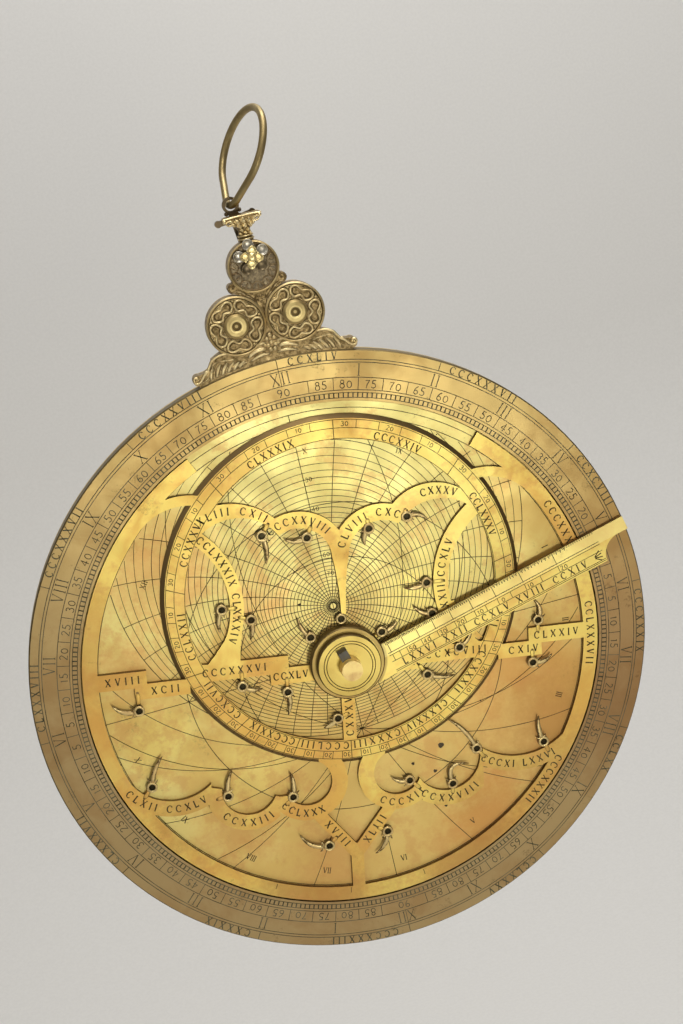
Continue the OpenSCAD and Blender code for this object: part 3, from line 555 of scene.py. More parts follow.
RING_BRONZE = metal("ring_bronze", (0.42, 0.33, 0.16), (0.32, 0.24, 0.11), (0.10, 0.08, 0.045),
                    60.0, 0.7, 0.5, 0.42, bump=0.3, wave=120.0)
SHACKLE_BRONZE = metal("shackle_bronze", (0.17, 0.13, 0.08), (0.13, 0.10, 0.06), (0.05, 0.04, 0.03),
                       150.0, 0.5, 0.5, 0.46)
IRON = metal("iron", (0.17, 0.165, 0.15), (0.16, 0.12, 0.08), (0.05, 0.05, 0.05),
             200.0, 0.5, 0.5, 0.5, bump=0.4, wave=300.0)


def line_material(name, deep, light):
    """Dark filling of engraved lines, which varies along them as it has worn."""
    material, net, shader = new_material(name)
    vector = net.coordinate("Object")
    worn = net.ramp(net.noise(vector, 70.0, 4.0, 0.7), 0.36, 0.66)
    grain = net.ramp(net.noise(vector, 1500.0, 2.0, 0.6), 0.35, 0.7, 0.75, 1.0)
    net.feed(shader["Base Color"], net.blend(worn * grain, deep, light))
    net.feed(shader["Roughness"], net.ramp(worn, 0.0, 1.0, 0.8, 0.6))
    net.feed(shader["Metallic"], 0.1)
    return material


LIMB_LINE = line_material("limb_line", (0.058, 0.056, 0.030), (0.185, 0.175, 0.100))
LINE = line_material("engraved_line", (0.040, 0.026, 0.008), (0.105, 0.070, 0.024))
FAINT_LINE = line_material("engraved_hair_line", (0.060, 0.042, 0.013), (0.150, 0.105, 0.036))
PIT = line_material("corrosion_pit", (0.05, 0.035, 0.02), (0.10, 0.07, 0.035))


# Points of flat drawings: x to the right and z up, with the pin in the middle

def on_circle(centre, r, degrees):
    """Point of a circle, degrees anticlockwise from +X."""
    a = math.radians(degrees)
    return (centre[0] + r * math.cos(a), centre[1] + r * math.sin(a))


def arc_points(centre, r, a0, a1, steps):
    return [on_circle(centre, r, a0 + (a1 - a0) * i / steps) for i in range(steps + 1)]


def arc_line(centre, r, a0, a1):
    """Close points of an arc. A clockwise arc has its left side outwards."""
    return arc_points(centre, r, a0, a1, max(4, int(abs(math.radians(a1 - a0)) * r / 0.8)))


def bearing(x, z):
    """Direction of a vector, in degrees anticlockwise from +X."""
    return math.degrees(math.atan2(z, x))


def turned(x, z, angle):
    """A point turned anticlockwise about the pin, angle in radians."""
    c, s = math.cos(angle), math.sin(angle)
    return (x * c - z * s, x * s + z * c)


def mirrored(points, way):
    """The points for way 1, and their mirror images for way -1."""
    return [(way * x, z) for x, z in points]


def run_at(line, i, closed):
    """Direction of a line at its point i."""
    before = line[i - 1] if i or closed else line[i]
    after = line[(i + 1) % len(line)] if i < len(line) - 1 or closed else line[i]
    run = Vector((after[0] - before[0], after[1] - before[1]))
    return run.normalized() if run.length > 1e-9 else Vector((1, 0))


def along(points):
    """A function that gives the place at a length along a line, and the line's whole length."""
    path = [Vector(p) for p in points]
    lengths = [0.0]
    for a, b in zip(path, path[1:]):
        lengths.append(lengths[-1] + (b - a).length)

    def at(u):
        i = max(0, min(len(path) - 2, bisect.bisect_right(lengths, u) - 1))
        run = (path[i + 1] - path[i]).normalized()
        return path[i] + run * (u - lengths[i]), run

    return at, lengths[-1]


def front(y):
    """Places a flat drawing on a front face at depth y, just in front of it."""
    return lambda x, z: (x, y - CUT, z)


def rear(y):
    """Places a drawing on a rear face, so that it reads right from behind."""
    return lambda x, z: (-x, y + CUT, z)


def turned_place(place, angle):
    return lambda x, z: place(*turned(x, z, angle))


# Meshes

class Piece:
    """Points and faces of one piece of the scene, in millimetres."""

    smooth = True

    def __init__(self):
        self.verts = []
        self.faces = []

    def join(self, start, rows, sides, closed=False):
        """Faces between rows of points that each go round once."""
        for i in range(rows if closed else rows - 1):
            step = ((i + 1) % rows - i) * sides
            for k in range(sides):
                a = start + i * sides + k
                b = start + i * sides + (k + 1) % sides
                self.faces.append((a, b, b + step, a + step))

    def build(self, name, body, material, slot, replaced=()):
        """Makes the piece, on a CAD body and in a material, in place of the CAD nodes replaced. slot is not
        used.
        """
        mesh = bpy.data.meshes.new(name)
        mesh.from_pydata([(x * MM, y * MM, z * MM) for x, y, z in self.verts], [], self.faces)
        mesh.validate()
        bm = bmesh.new()
        bm.from_mesh(mesh)
        bmesh.ops.recalc_face_normals(bm, faces=bm.faces)
        bm.to_mesh(mesh)
        bm.free()
        for polygon in mesh.polygons:
            polygon.use_smooth = self.smooth
        mesh.materials.append(material)
        piece = bpy.data.objects.new(name, mesh)
        bpy.context.scene.collection.objects.link(piece)
        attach(piece, body)
        if replaced:
            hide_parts(*replaced)


class Engraving(Piece):
    """Lines cut in a face: each stroke is a flat strip in the drawing's own plane."""

    smooth = False

    def __init__(self, place):
        super().__init__()
        self.place = place

    def stroke(self, points, width, closed=False):
        points = [Vector(p) for p in points]
        count = len(points)
        if count < 2:
            return
        start = len(self.verts)
        for i, point in enumerate(points):
            run = run_at(points, i, closed)
            half = width / 2
            if closed or 0 < i < count - 1:
                # A bend keeps the strip's width
                leg = points[(i + 1) % count] - point
                if leg.length > 1e-9:
                    half *= min(1.6, 1 / max(0.3, abs(leg.normalized().dot(run))))
            across = Vector((-run.y, run.x)) * half
            for sign in (1, -1):
                self.verts.append(self.place(*(point + across * sign)))
        for i in range(count if closed else count - 1):
            a = start + 2 * i
            b = start + 2 * ((i + 1) % count)
            self.faces.append((a, a + 1, b + 1, b))

    def arc(self, centre, r, width, a0=0.0, a1=360.0, inside=None):
        """Angles in degrees, anticlockwise from +X. inside(x, z) keeps only the runs for which it is true."""
        steps = max(6, int(abs(math.radians(a1 - a0)) * r / 1.6), int(abs(a1 - a0) / 6))
        points = arc_points(centre, r, a0, a1, steps)
        if inside:
            self.runs(points, width, inside)
            return
        full = abs(a1 - a0) >= 359.99
        self.stroke(points[:-1] if full else points, width, full)

    def runs(self, points, width, inside):
        run = []
        for point in points:
            if inside(*point):
                run.append(point)
            else:
                self.stroke(run, width)
                run = []
        self.stroke(run, width)

    def spoke(self, angle, r0, r1, width):
        """A line that points away from the pin."""
        self.stroke([on_circle(AXIS, r, angle) for r in (r0, r1)], width)

    def blob(self, centre, r, seed):
        """An uneven round patch."""
        rng = random.Random(seed)
        start = len(self.verts)
        sides = 14
        self.verts.append(self.place(*centre))
        for i in range(sides):
            reach = r * (1 + 0.22 * rng.uniform(-1, 1))
            self.verts.append(self.place(*on_circle(centre, reach, 360 * i / sides)))
        for i in range(sides):
            self.faces.append((start, start + 1 + i, start + 1 + (i + 1) % sides))

    def signs(self, text, centre, up, size, width, spacing=0.22):
        """A row of digits or Roman numerals round a point. up is the angle of their tops, in degrees."""
        glyphs = [GLYPHS[c] for c in text]
        x = -(sum(g[0] for g in glyphs) + spacing * (len(glyphs) - 1)) / 2
        for advance, lines in glyphs:
            for weight, line in lines:
                points = []
                for px, pz in line:
                    u, v = turned((x + px) * size, (pz - 0.5) * size, math.radians(up - 90))
                    points.append((centre[0] + u, centre[1] + v))
                self.stroke(points, width * weight)
            x += advance + spacing

    def label(self, points, index, size, width, room=1.0):
        """A Roman number that fills a line, letter by letter. The tops are on the line's left."""
        at, total = along(points)
        text = number_of_width(index, round(total / (size * room)))
        wide = sum(GLYPHS[c][0] for c in text) * size
        gap = min(0.62 * size, (total - wide) / max(1, len(text) - 1))
        place = (total - wide - gap * (len(text) - 1)) / 2
        for c in text:
            spot, run = at(place + GLYPHS[c][0] * size / 2)
            self.signs(c, tuple(spot), bearing(-run.y, run.x), size, width)
            place += GLYPHS[c][0] * size + gap


# Signs for numbers: each is its advance and its strokes in a unit square, with the weight of each stroke

def bow(cx, cz, rx, rz, a0, a1, n=10):
    """Arc of an ellipse."""
    return [(cx + rx * x, cz + rz * z) for x, z in arc_points(AXIS, 1, a0, a1, n)]


def serif(z, x0, x1):
    """Thin head or foot of a Roman letter."""
    return (0.8, [(x0, z), (x1, z)])


HEAD, FOOT = 0.98, 0.02
GLYPHS = {
    "0": (0.56, [(1, bow(0.28, 0.40, 0.25, 0.36, 0, 360, 18))]),
    "1": (0.26, [(1, [(0.02, 0.72), (0.14, 0.80), (0.14, 0.04)])]),
    "2": (0.52, [(1, bow(0.25, 0.68, 0.21, 0.20, 160, -40) + [(0.04, 0.05), (0.50, 0.05)])]),
    "3": (0.50, [(1, bow(0.22, 0.66, 0.20, 0.18, 150, -90)), (1, bow(0.22, 0.24, 0.24, 0.24, 90, -150))]),
    "4": (0.56, [(1, [(0.36, 0.0), (0.36, 0.92), (0.02, 0.30), (0.54, 0.30)])]),
    "5": (0.50, [(1, [(0.46, 0.90), (0.12, 0.88), (0.10, 0.52)] + bow(0.20, 0.30, 0.25, 0.25, 110, -150))]),
    "6": (0.52, [(1, [(0.44, 0.92), (0.22, 0.74), (0.06, 0.42)]
                  + bow(0.26, 0.26, 0.22, 0.22, 160, -200, 14))]),
    "7": (0.50, [(1, [(0.03, 0.84), (0.47, 0.86), (0.24, 0.44), (0.16, 0.0)])]),
    "8": (0.54, [(1, bow(0.27, 0.70, 0.19, 0.19, -90, 270, 14)),
                 (1, bow(0.27, 0.26, 0.24, 0.25, 90, 450, 14))]),
    "9": (0.52, [(1, bow(0.26, 0.66, 0.22, 0.20, 0, 360, 14)),
                 (1, [(0.48, 0.62), (0.42, 0.32), (0.20, 0.02)])]),
    "I": (0.20, [(1.25, [(0.10, FOOT), (0.10, HEAD)]), serif(HEAD, 0.0, 0.20), serif(FOOT, 0.0, 0.20)]),
    "V": (0.66, [(1.35, [(0.06, HEAD), (0.33, FOOT)]), (0.8, [(0.60, HEAD), (0.33, FOOT)]),
                 serif(HEAD, 0.0, 0.16), serif(HEAD, 0.50, 0.68)]),
    "X": (0.66, [(1.35, [(0.06, HEAD), (0.60, FOOT)]), (0.8, [(0.60, HEAD), (0.06, FOOT)]),
                 serif(HEAD, 0.0, 0.16), serif(HEAD, 0.50, 0.68),
                 serif(FOOT, 0.0, 0.16), serif(FOOT, 0.50, 0.68)]),
    "L": (0.52, [(1.35, [(0.09, HEAD), (0.09, FOOT)]), serif(HEAD, 0.0, 0.20),
                 (0.9, [(0.0, FOOT), (0.50, 0.03), (0.50, 0.20)])]),
    "C": (0.66, [(1.25, bow(0.36, 0.50, 0.34, 0.48, 130, 230)), (0.9, bow(0.36, 0.50, 0.34, 0.48, 230, 318)),
                 (0.9, bow(0.36, 0.50, 0.34, 0.48, 130, 42)), (0.8, [(0.62, 0.92), (0.62, 0.72)])]),
    " ": (0.30, []),
}


def roman(number):
    text = ""
    for value, sign in zip((100, 90, 50, 40, 10, 9, 5, 4, 1), "C XC L XL X IX V IV I".split()):
        while number >= value:
            text += sign
            number -= value
    return text


def number_of_width(index, letters):
    """A Roman number of that many letters, or two of them, with a gap, for a long room."""
    if letters > 9:
        left = letters // 2
        return number_of_width(index, left) + " " + number_of_width(index + 3, letters - left - 1)
    fitting = [roman(n) for n in range(1, 361) if len(roman(n)) == max(2, letters)]
    return fitting[index * 7 % len(fitting)]


# Limb

# Signs of the number at each of the twelve winds
WIND_SIGNS = (6, 9, 8, 8, 5, 7, 9, 6, 8, 9, 9, 9)


def limb_engraving():
    """Ladder of degrees, figures from 0 to 90 and back, hours, and the row of the winds."""
    cut = Engraving(front(LIMB_Y))
    ladder, ladder_end, figures = 127.6, 129.9, 131.2
    hours, hours_end, winds, winds_end = 137.0, 144.0, 145.3, 149.6
    for r in (ladder, ladder_end, figures):
        cut.arc(AXIS, r, 0.34)
    for r in (hours, hours_end, winds):
        cut.arc(AXIS, r, 0.36)
    for degree in range(360):
        cut.spoke(degree, ladder, ladder_end, 0.62)
    for angle in range(0, 360, 5):
        quarter = angle % 180
        value = abs(90 - quarter)
        up = 90 - angle
        if quarter:
            cut.spoke(up, figures, hours, 0.32)
            # The number stands in the cell on the far side from the top or the bottom
            up -= 2.5 if quarter < 90 else -2.5
        if value:
            cut.signs(str(value), on_circle(AXIS, 134.1, up), up, 4.3, 0.40)
    for hour in range(24):
        up = 90 - hour * 15
        cut.signs(roman((hour - 1) % 12 + 1), on_circle(AXIS, 140.5, up), up, 5.6, 0.38, 0.24)
    for wind, signs in enumerate(WIND_SIGNS):
        up = 90 - wind * 30
        cut.spoke(up, winds, winds_end, 0.36)
        if wind in (0, 6):
            cut.spoke(up, hours, winds, 0.3)
        line = arc_line(AXIS, 147.4, up - 1.6, up - 1.6 - 1.62 * signs)
        cut.label(line, signs + wind, 3.5, 0.46, 1.19)
    cut.build("limb_scales", "mater", LIMB_LINE, "limb_brass")


# Latitude plate

def sky_point(hour_angle, declination):
    r = sky_radius(declination)
    return (r * math.sin(hour_angle), r * math.cos(hour_angle))


def from_horizon(azimuth, altitude):
    """Place on the plate of a point of the sky, azimuth from the north."""
    level = math.cos(altitude) * math.cos(azimuth)
    sin_dec = math.sin(LATITUDE) * math.sin(altitude) + math.cos(LATITUDE) * level
    dec = math.asin(max(-1, min(1, sin_dec)))
    y = -math.cos(altitude) * math.sin(azimuth)
    x = (math.sin(altitude) - math.sin(LATITUDE) * math.sin(dec)) / math.cos(LATITUDE)
    return sky_point(math.atan2(y, x), dec)


def circle_through(a, b, c):
    """Centre and radius of the circle through three points."""
    d = 2 * (a.x * (b.y - c.y) + b.x * (c.y - a.y) + c.x * (a.y - b.y))
    aa, bb, cc = a.length_squared, b.length_squared, c.length_squared
    x = (aa * (b.y - c.y) + bb * (c.y - a.y) + cc * (a.y - b.y)) / d
    z = (aa * (c.x - b.x) + bb * (a.x - c.x) + cc * (b.x - a.x)) / d
    return (x, z), (a - Vector((x, z))).length


def plate_engraving():
    """Heights and directions of the sky, unequal hours, houses, and a few pits of corrosion."""
    cut = Engraving(front(PLATE_Y))
    hair = Engraving(front(PLATE_Y))
    rim = RING_IN_R - 0.4

    def on_plate(x, z):
        return math.hypot(x, z) < rim

    for r in (EQUATOR_R, CANCER_R, rim):
        cut.arc(AXIS, r, 0.36)
    cut.arc(AXIS, 122.6, 0.34)
    cut.stroke([(0, -RING_IN_R), (0, RING_IN_R + 4)], 0.34)
    cut.stroke([(-RING_IN_R, 0), (RING_IN_R, 0)], 0.34)
    for altitude in range(0, 90, 2):
        h = math.radians(altitude)
        scale = EQUATOR_R / (math.sin(LATITUDE) + math.sin(h))
        centre = (0, scale * math.cos(LATITUDE))
        tenth = altitude % 10 == 0
        width = 0.38 if altitude == 0 else 0.33 if tenth else 0.28
        (cut if tenth else hair).arc(centre, scale * math.cos(h), width, -90, 270, on_plate)
    for azimuth in range(0, 360, 10):
        points = [from_horizon(math.radians(azimuth), math.radians(a)) for a in range(0, 89)]
        cut.runs(points, 0.33, on_plate)
    # Number of each tenth degree of height, beside the meridian
    for altitude in range(30, 80, 10):
        x, z = from_horizon(math.pi, math.radians(altitude))
        cut.signs(str(altitude), (x + 2.4, z), 90, 2.4, 0.30)
    # Unequal hours below the horizon: each divides the night part of the three circles in twelve
    for hour in range(1, 12):
        ends = []
        for r, declination in ((CANCER_R, OBLIQUITY), (EQUATOR_R, 0.0), (RING_IN_R, -OBLIQUITY)):
            cosine = -math.tan(LATITUDE) * math.tan(declination)
            half_day = math.acos(max(-1, min(1, cosine)))
            a = half_day + (math.tau - 2 * half_day) * hour / 12
            ends.append(Vector((r * math.sin(a), r * math.cos(a))))
        if hour != 6:
            centre, r = circle_through(*ends)
            a0 = bearing(ends[0].x - centre[0], ends[0].y - centre[1])
            a1 = bearing(ends[2].x - centre[0], ends[2].y - centre[1])
            cut.arc(centre, r, 0.32, a0, a0 + (a1 - a0 + 180) % 360 - 180)
        mark = ends[2] * 0.93
        spot = mark + Vector((-mark.y, mark.x)).normalized() * 5.5
        cut.signs(roman(hour), tuple(spot), bearing(*mark) + 180, 3.0, 0.34, 0.12)
    # Houses: arcs through the north and south points of the horizon
    north = Vector(from_horizon(0.0, 0.0))
    south = Vector(from_horizon(math.pi, 0.0))
    for degrees in (-30, -60, 30, 60, -120, -150, 120, 150):
        third = Vector(sky_point(math.radians(degrees), 0.0))
        cut.arc(*circle_through(north, third, south), 0.31, 0, 360, on_plate)
    cut.signs("X", (3.6, 104.5), 90, 2.6, 0.3)
    for number, x, z in (("XI", -45, 93), ("IX", 47, 93), ("XII", -84, 62), ("VIII", 86, 60)):
        cut.signs(number, (x, z), bearing(x, z), 2.6, 0.3)
    cut.build("plate_lines", "mater", LINE, "plate_brass")
    hair.build("plate_hair_lines", "mater", FAINT_LINE, "plate_brass")
    pits = Engraving(front(PLATE_Y - 0.005))
    for seed, (x, z, r) in enumerate(((36, -57, 1.4), (20.5, -62.5, 0.8), (30.5, -69.5, 0.9), (32, -89, 0.8),
                                      (-15.5, 32.5, 0.8), (60, -40, 0.4), (-62, -68, 0.4), (66, 96, 0.35))):
        pits.blob((x, z), r, seed)
    pits.build("plate_pits", "mater", PIT, "plate_brass")


# Rete

def ecliptic_point(longitude, radius):
    """Point on the ecliptic band, longitude in degrees from the first point of Capricorn, anticlockwise."""
    lam = math.radians(longitude - 90)
    dec = math.asin(math.sin(OBLIQUITY) * math.sin(lam))
    asc = math.atan2(math.cos(OBLIQUITY) * math.sin(lam), math.cos(lam))
    r = sky_radius(dec)
    a = asc + math.pi
    point = Vector((r * math.cos(a), r * math.sin(a)))
    pole = Vector((0, EQUATOR_R * math.tan(OBLIQUITY / 2)))
    way = (point - pole).normalized()
    offset = pole - Vector((0, ECLIPTIC_Z))
    b = offset.dot(way)
    return pole + way * (-b + math.sqrt(b * b - offset.length_squared + radius * radius))


def ecliptic_engraving(cut):
    centre = (0, ECLIPTIC_Z)
    inner, division, outer = ECLIPTIC_IN_R + 0.5, 79.9, ECLIPTIC_OUT_R - 0.35
    figures_r = (division + ECLIPTIC_OUT_R) / 2
    signs_r = (ECLIPTIC_IN_R + division) / 2
    for r in (inner, division, outer):
        cut.arc(centre, r, 0.3)
    for longitude in range(0, 360, 5):
        start, width = (inner, 0.36) if longitude % 30 == 0 else (division, 0.28)
        cut.stroke([ecliptic_point(longitude, r) for r in (start, outer)], width)
    for longitude in range(0, 360, 10):
        spot = ecliptic_point(longitude + 7.5, figures_r)
        cut.signs(str(longitude % 30 + 10), tuple(spot), bearing(*(spot - Vector(centre))), 2.6, 0.32)
    for sign in range(12):
        up = bearing(*(ecliptic_point(sign * 30 + 15, signs_r) - Vector(centre)))
        cut.label(arc_line(centre, signs_r, up + 8.6, up - 8.6), sign + 2, 3.5, 0.48)


# Lines of the bands that carry the star numbers, in the upright place of the fretwork
STAR_BANDS = [
    arc_line((-50.7, 50), 28.9, 124, 52), arc_line((-20, 51.5), 20, 132, 42),
    arc_line((20, 51.5), 20, 166, 46), arc_line((46.9, 54.2), 25.3, 106, 66),
    arc_line((93.2, 33.3), 45.4, 206, 152), arc_line((-95, 33), 44.5, 50, -24),
    [(-69, 1.3), (-39, 1.3)], [(-35.5, -4.4), (-19, -4.4)], [(18.5, -4.4), (35, -4.4)], [(39, -2), (69, -2)],
    [(-116.5, 1.9), (-97.5, 1.9)], [(-94.5, -4.3), (-80, -4.3)], [(80.5, -4.6), (95, -4.6)],
    [(93.5, 1.8), (115.5, 1.8)], [(-0.2, -38.5), (-0.2, -19)],
    arc_line((-86.2, -36.3), 29.2, 218, 298), arc_line((-51, -60), 17.5, 222, 306),
    arc_line((-22.3, -60.5), 15.9, 218, 296), arc_line((22.3, -60.5), 15.9, 236, 316),
    arc_line((47.5, -57), 20.6, 230, 314), arc_line((84.5, -27.5), 36.5, 238, 298),
    [(-15.2, -81.6), (-3.4, -96.7)], [(3.4, -96.7), (15.2, -81.6)],
    arc_line(AXIS, 122, 34, 19), arc_line(AXIS, 122, 7.5, -7.5), arc_line(AXIS, 122, -31, -44),
]


def on_bevel(x, z):
    """A place on the ecliptic's bevelled edge, in the instrument's own frame."""
    slope = 0.725
    cx, cz = turned(0, ECLIPTIC_Z, RETE_TURN)
    out = math.hypot(x - cx, z - cz) - ECLIPTIC_OUT_R
    return (x, RETE_Y + slope * out - 1.5 * CUT, z)


def rete_engraving():
    cut = Engraving(turned_place(front(RETE_Y), RETE_TURN))
    ecliptic_engraving(cut)
    for number, band in enumerate(STAR_BANDS, 1):
        cut.label(band, number, 3.6, 0.50)
    for angle in (250, 268, 286):
        cut.spoke(angle, RING_IN_R + 0.6, RING_IN_R + 3.4, 0.3)
    cut.build("rete_lines", "fretwork", LINE, "rete_brass")
    # The divisions run on over the bevelled edge
    edge = Engraving(turned_place(on_bevel, RETE_TURN))
    for longitude in range(0, 360, 5):
        edge.stroke([ecliptic_point(longitude, ECLIPTIC_OUT_R + r) for r in (0.1, 1.9)], 0.32)
    edge.build("rete_edge_lines", "fretwork", LINE, "rete_brass")


# Throne, rosettes and pointers: sweeps of a round or flat section along a line

def smooth_line(points, per=6, closed=False):
    """Catmull-Rom curve through points of any length of coordinates."""
    count = len(points)
    result = []

    def blend(a, b, c, d, t):
        return 0.5 * (2 * b + (c - a) * t + (2 * a - 5 * b + 4 * c - d) * t * t
                      + (3 * b - a - 3 * c + d) * t ** 3)

    for i in range(count if closed else count - 1):
        near = [(i + k) % count if closed else min(max(i + k, 0), count - 1) for k in (-1, 0, 1, 2)]
        for j in range(per):
            result.append(tuple(blend(*four, j / per) for four in zip(*(points[k] for k in near))))
    if not closed:
        result.append(tuple(points[-1]))
    return result


class Relief(Piece):
    """Raised work on a face that looks along -Y: every sweep lies at its own depth."""

    def sweep(self, line, half, rise, y, closed=False, sides=10):
        """line is (x, z) points; half and rise are the section's half width and height, each a number or
        one per point."""
        count = len(line)
        halves = half if isinstance(half, list) else [half] * count
        rises = rise if isinstance(rise, list) else [rise] * count
        start = len(self.verts)
        for i in range(count):
            run = run_at(line, i, closed)
            for k in range(sides):
                a = math.tau * k / sides
                u, v = math.cos(a) * halves[i], math.sin(a) * rises[i]
                self.verts.append((line[i][0] - run.y * u, y - v, line[i][1] + run.x * u))
        self.join(start, count, sides, closed)
        if not closed:
            end = start + (count - 1) * sides
            self.faces.append(tuple(range(start, start + sides)))
            self.faces.append(tuple(range(end + sides - 1, end - 1, -1)))

    def leaf(self, points, width, height, y):
        """A stroke that swells and then thins to its tip."""
        line = smooth_line(points)
        halves = []
        for i in range(len(line) - 1):
            t = i / (len(line) - 1)
            halves.append(width / 2 * (0.35 + 1.9 * t ** 0.8 * (1 - t) + 0.05 * (1 - t)))
        halves.append(0.05)
        self.sweep(line, halves, [max(0.06, height * h * 2 / width) for h in halves], y)

    def rope(self, points, half, rise, y, closed=False, per=6):
        self.sweep(smooth_line(points, per, closed), half, rise, y, closed)

    def bead(self, centre, r, rise, y, rings=5, sides=14):
        """A low dome."""
        start = len(self.verts)
        self.verts.append((centre[0], y - rise, centre[1]))
        for i in range(1, rings + 1):
            a = math.pi / 2 * i / rings
            for k in range(sides):
                x, z = on_circle(centre, r * math.sin(a), 360 * k / sides)
                self.verts.append((x, y - rise * math.cos(a), z))
        for k in range(sides):
            self.faces.append((start, start + 1 + k, start + 1 + (k + 1) % sides))
        self.join(start + 1, rings, sides)
        last = start + 1 + (rings - 1) * sides
        self.faces.append(tuple(range(last, last + sides)))

    def lathe(self, centre, profile, sides):
        """profile is (radius, y) pairs, from the middle or inner edge outwards and back."""
        start = len(self.verts)
        for r, y in profile:
            for k in range(sides):
                x, z = on_circle(centre, r, 360 * k / sides)
                self.verts.append((x, y, z))
        self.join(start, len(profile), sides)

    def eye(self, centre, y):
        """Raised eye of a pointer, with a rounded rim round its hole."""
        rim_r, half, rise = 2.12, 0.62, 0.5
        rim = arc_points(AXIS, 1, 0, 360, 12)
        self.lathe(centre, [(rim_r + half * u, y - 0.14 - rise * v) for u, v in rim], 28)

    def petal(self, middle, outline, y, steps):
        """A closed petal: rings of its outline, each with its share of the outline's size and its depth
        behind y."""
        start = len(self.verts)
        for share, depth in steps:
            for x, z in outline:
                self.verts.append((middle.x + (x - middle.x) * share, y + depth,
                                   middle.y + (z - middle.y) * share))
        sides = len(outline)
        self.join(start, len(steps), sides)
        last = start + (len(steps) - 1) * sides
        self.faces.append(tuple(range(last, last + sides)))
        self.faces.append(tuple(range(start, start + sides)))


# Eye, tip and seat of each star pointer, and the bend of its tail as a share of its length
POINTERS = (
    ((-36.7, 65.6), (-35.5, 51.8), (-33, 71.5), 0.2), ((-15.5, 62.5), (-26.3, 63), (-13, 68.5), 0.3),
    ((14.2, 64), (12, 56), (13.7, 69), -0.3), ((32.7, 68), (42.5, 66), (32, 72), 0.3),
    ((40.9, 34.5), (29.4, 33.3), (50, 34.5), 0.25), ((42.9, 18.8), (34, 23.5), (51.5, 21), 0.3),
    ((17.8, 12.3), (25.5, 17), (12, 8), -0.3), ((-16.6, 13.4), (-22.2, 23.7), (-11.5, 9), 0.2),
    ((-57.9, 31.8), (-59.4, 20.5), (-50.5, 32), -0.2), ((-44.4, 25.3), (-45.5, 15.5), (-50.5, 27.5), 0.2),
    ((-50.7, -7.3), (-41, -9.1), (-50.7, 0.5), -0.3), ((-5.8, -29), (-13, -33), (0, -27), 0.2),
    ((-29.3, -12.7), (-29.9, -24.3), (-29.3, -5), 0.2), ((-100.4, -13.6), (-113, -9.3), (-100.4, -4), 0.35),
    ((-97.6, -52.8), (-91.5, -37.6), (-102, -58.5), 0.15),
    ((-61.6, -62.3), (-58.8, -48.7), (-67.5, -63.5), 0.15),
    ((-30.1, -66.9), (-30.8, -53.8), (-34, -71), -0.15), ((-13.8, -95), (-28, -87.3), (-9.5, -90.5), 0.35),
    ((15.7, -91.2), (9, -102.4), (10.5, -88.5), 0.3), ((28, -65.7), (19, -63), (33.5, -71), 0.3),
    ((49.6, -70.3), (58.3, -60.7), (49.5, -76), 0.9), ((62.4, -53.3), (48.7, -36.5), (66.5, -59), -0.15),
    ((96.6, -54), (94.4, -40), (99.5, -60), 0.15), ((95.4, 9.6), (93.5, 20), (95.4, 3), -0.4),
    ((92.2, -11.9), (102, -8.3), (92.2, -5), -0.35), ((39.3, -11.9), (53, -13.4), (35, -6), -0.2),
    ((55.7, 0.2), (62, 9), (50, -2), -0.25),
)
# Half widths and heights along a horn
HORN_HALVES = [0.55, 0.55, 0.53, 0.5, 0.46, 0.4, 0.33, 0.22, 0.08]
HORN_RISES = [0.36, 0.36, 0.35, 0.33, 0.3, 0.26, 0.22, 0.16, 0.06]


def star_pointers():
    """Eye, leaf collar and flame of each star pointer, in place of the plain CAD ones."""
    relief, stems, shade_wells = Relief(), Relief(), Relief()
    level = RETE_Y - 0.28

    def turn(points):
        return [turned(x, z, RETE_TURN) for x, z in points]

    def add_eye(place):
        centre = turned(*place, RETE_TURN)
        relief.eye(centre, level)
        # A near-black dome in the eye's hole paints the shade inside it
        shade_wells.bead(centre, 1.7, 0.10, level + 0.12)

    for eye, tip, seat, bend in POINTERS:
        eye, tip, seat = Vector(eye), Vector(tip), Vector(seat)
        way = tip - eye
        mid = (eye + tip) / 2 + Vector((-way.y, way.x)) * bend
        tail = []
        for i in range(13):
            t = i / 12
            tail.append((1 - t) ** 2 * eye + 2 * t * (1 - t) * mid + t * t * tip)
        # The tail starts at the rim of the eye
        tail = tail[next(i for i, p in enumerate(tail) if (p - eye).length > 1.7):]
        n = len(tail) - 1
        halves = [0.5 + 0.65 * math.sin(math.pi * min(1, 0.12 + i / n) ** 0.7) for i in range(n)] + [0.1]
        rises = [0.45 * (1 - i / n) + 0.16 for i in range(n + 1)]
        relief.sweep(turn(tail), halves, rises, level)
        # Two small horns stand off the root of the tail
        run = (tail[1] - tail[0]).normalized()
        for across in (Vector((-run.y, run.x)), Vector((run.y, -run.x))):
            root = tail[0] + across * 0.4
            horn = [root, root + across * 1.3 + run * 0.2, root + across * 2.1 + run * 1.4]
            relief.sweep(turn(smooth_line(horn, 4)), HORN_HALVES, HORN_RISES, level)
        # A flat tab carries the eye on the band
        stems.sweep(turn([eye + (seat - eye) * t for t in (0.25, 0.5, 0.75, 1.0)]), [0.95, 0.9, 1.1, 0.5],
                    [0.16, 0.16, 0.14, 0.08], RETE_Y - 0.02)
        add_eye(eye)
    add_eye((-1.5, 21))
    relief.build("star_pointer_flames", "fretwork", POINTER_BRASS, "pointer_brass", ("star_pointers",))
    stems.build("star_pointer_tabs", "fretwork", RETE_BRASS, "rete_brass")
    shade_wells.build("star_pointer_shade_wells", "fretwork", SHADE_WELL, "pointer_brass")


def bent(centre, r, base, u, bend_r):
    """Point at a radius, at a length u round the circle bend_r from the direction base, in degrees."""
    return on_circle(centre, r, base + math.degrees(u / bend_r))


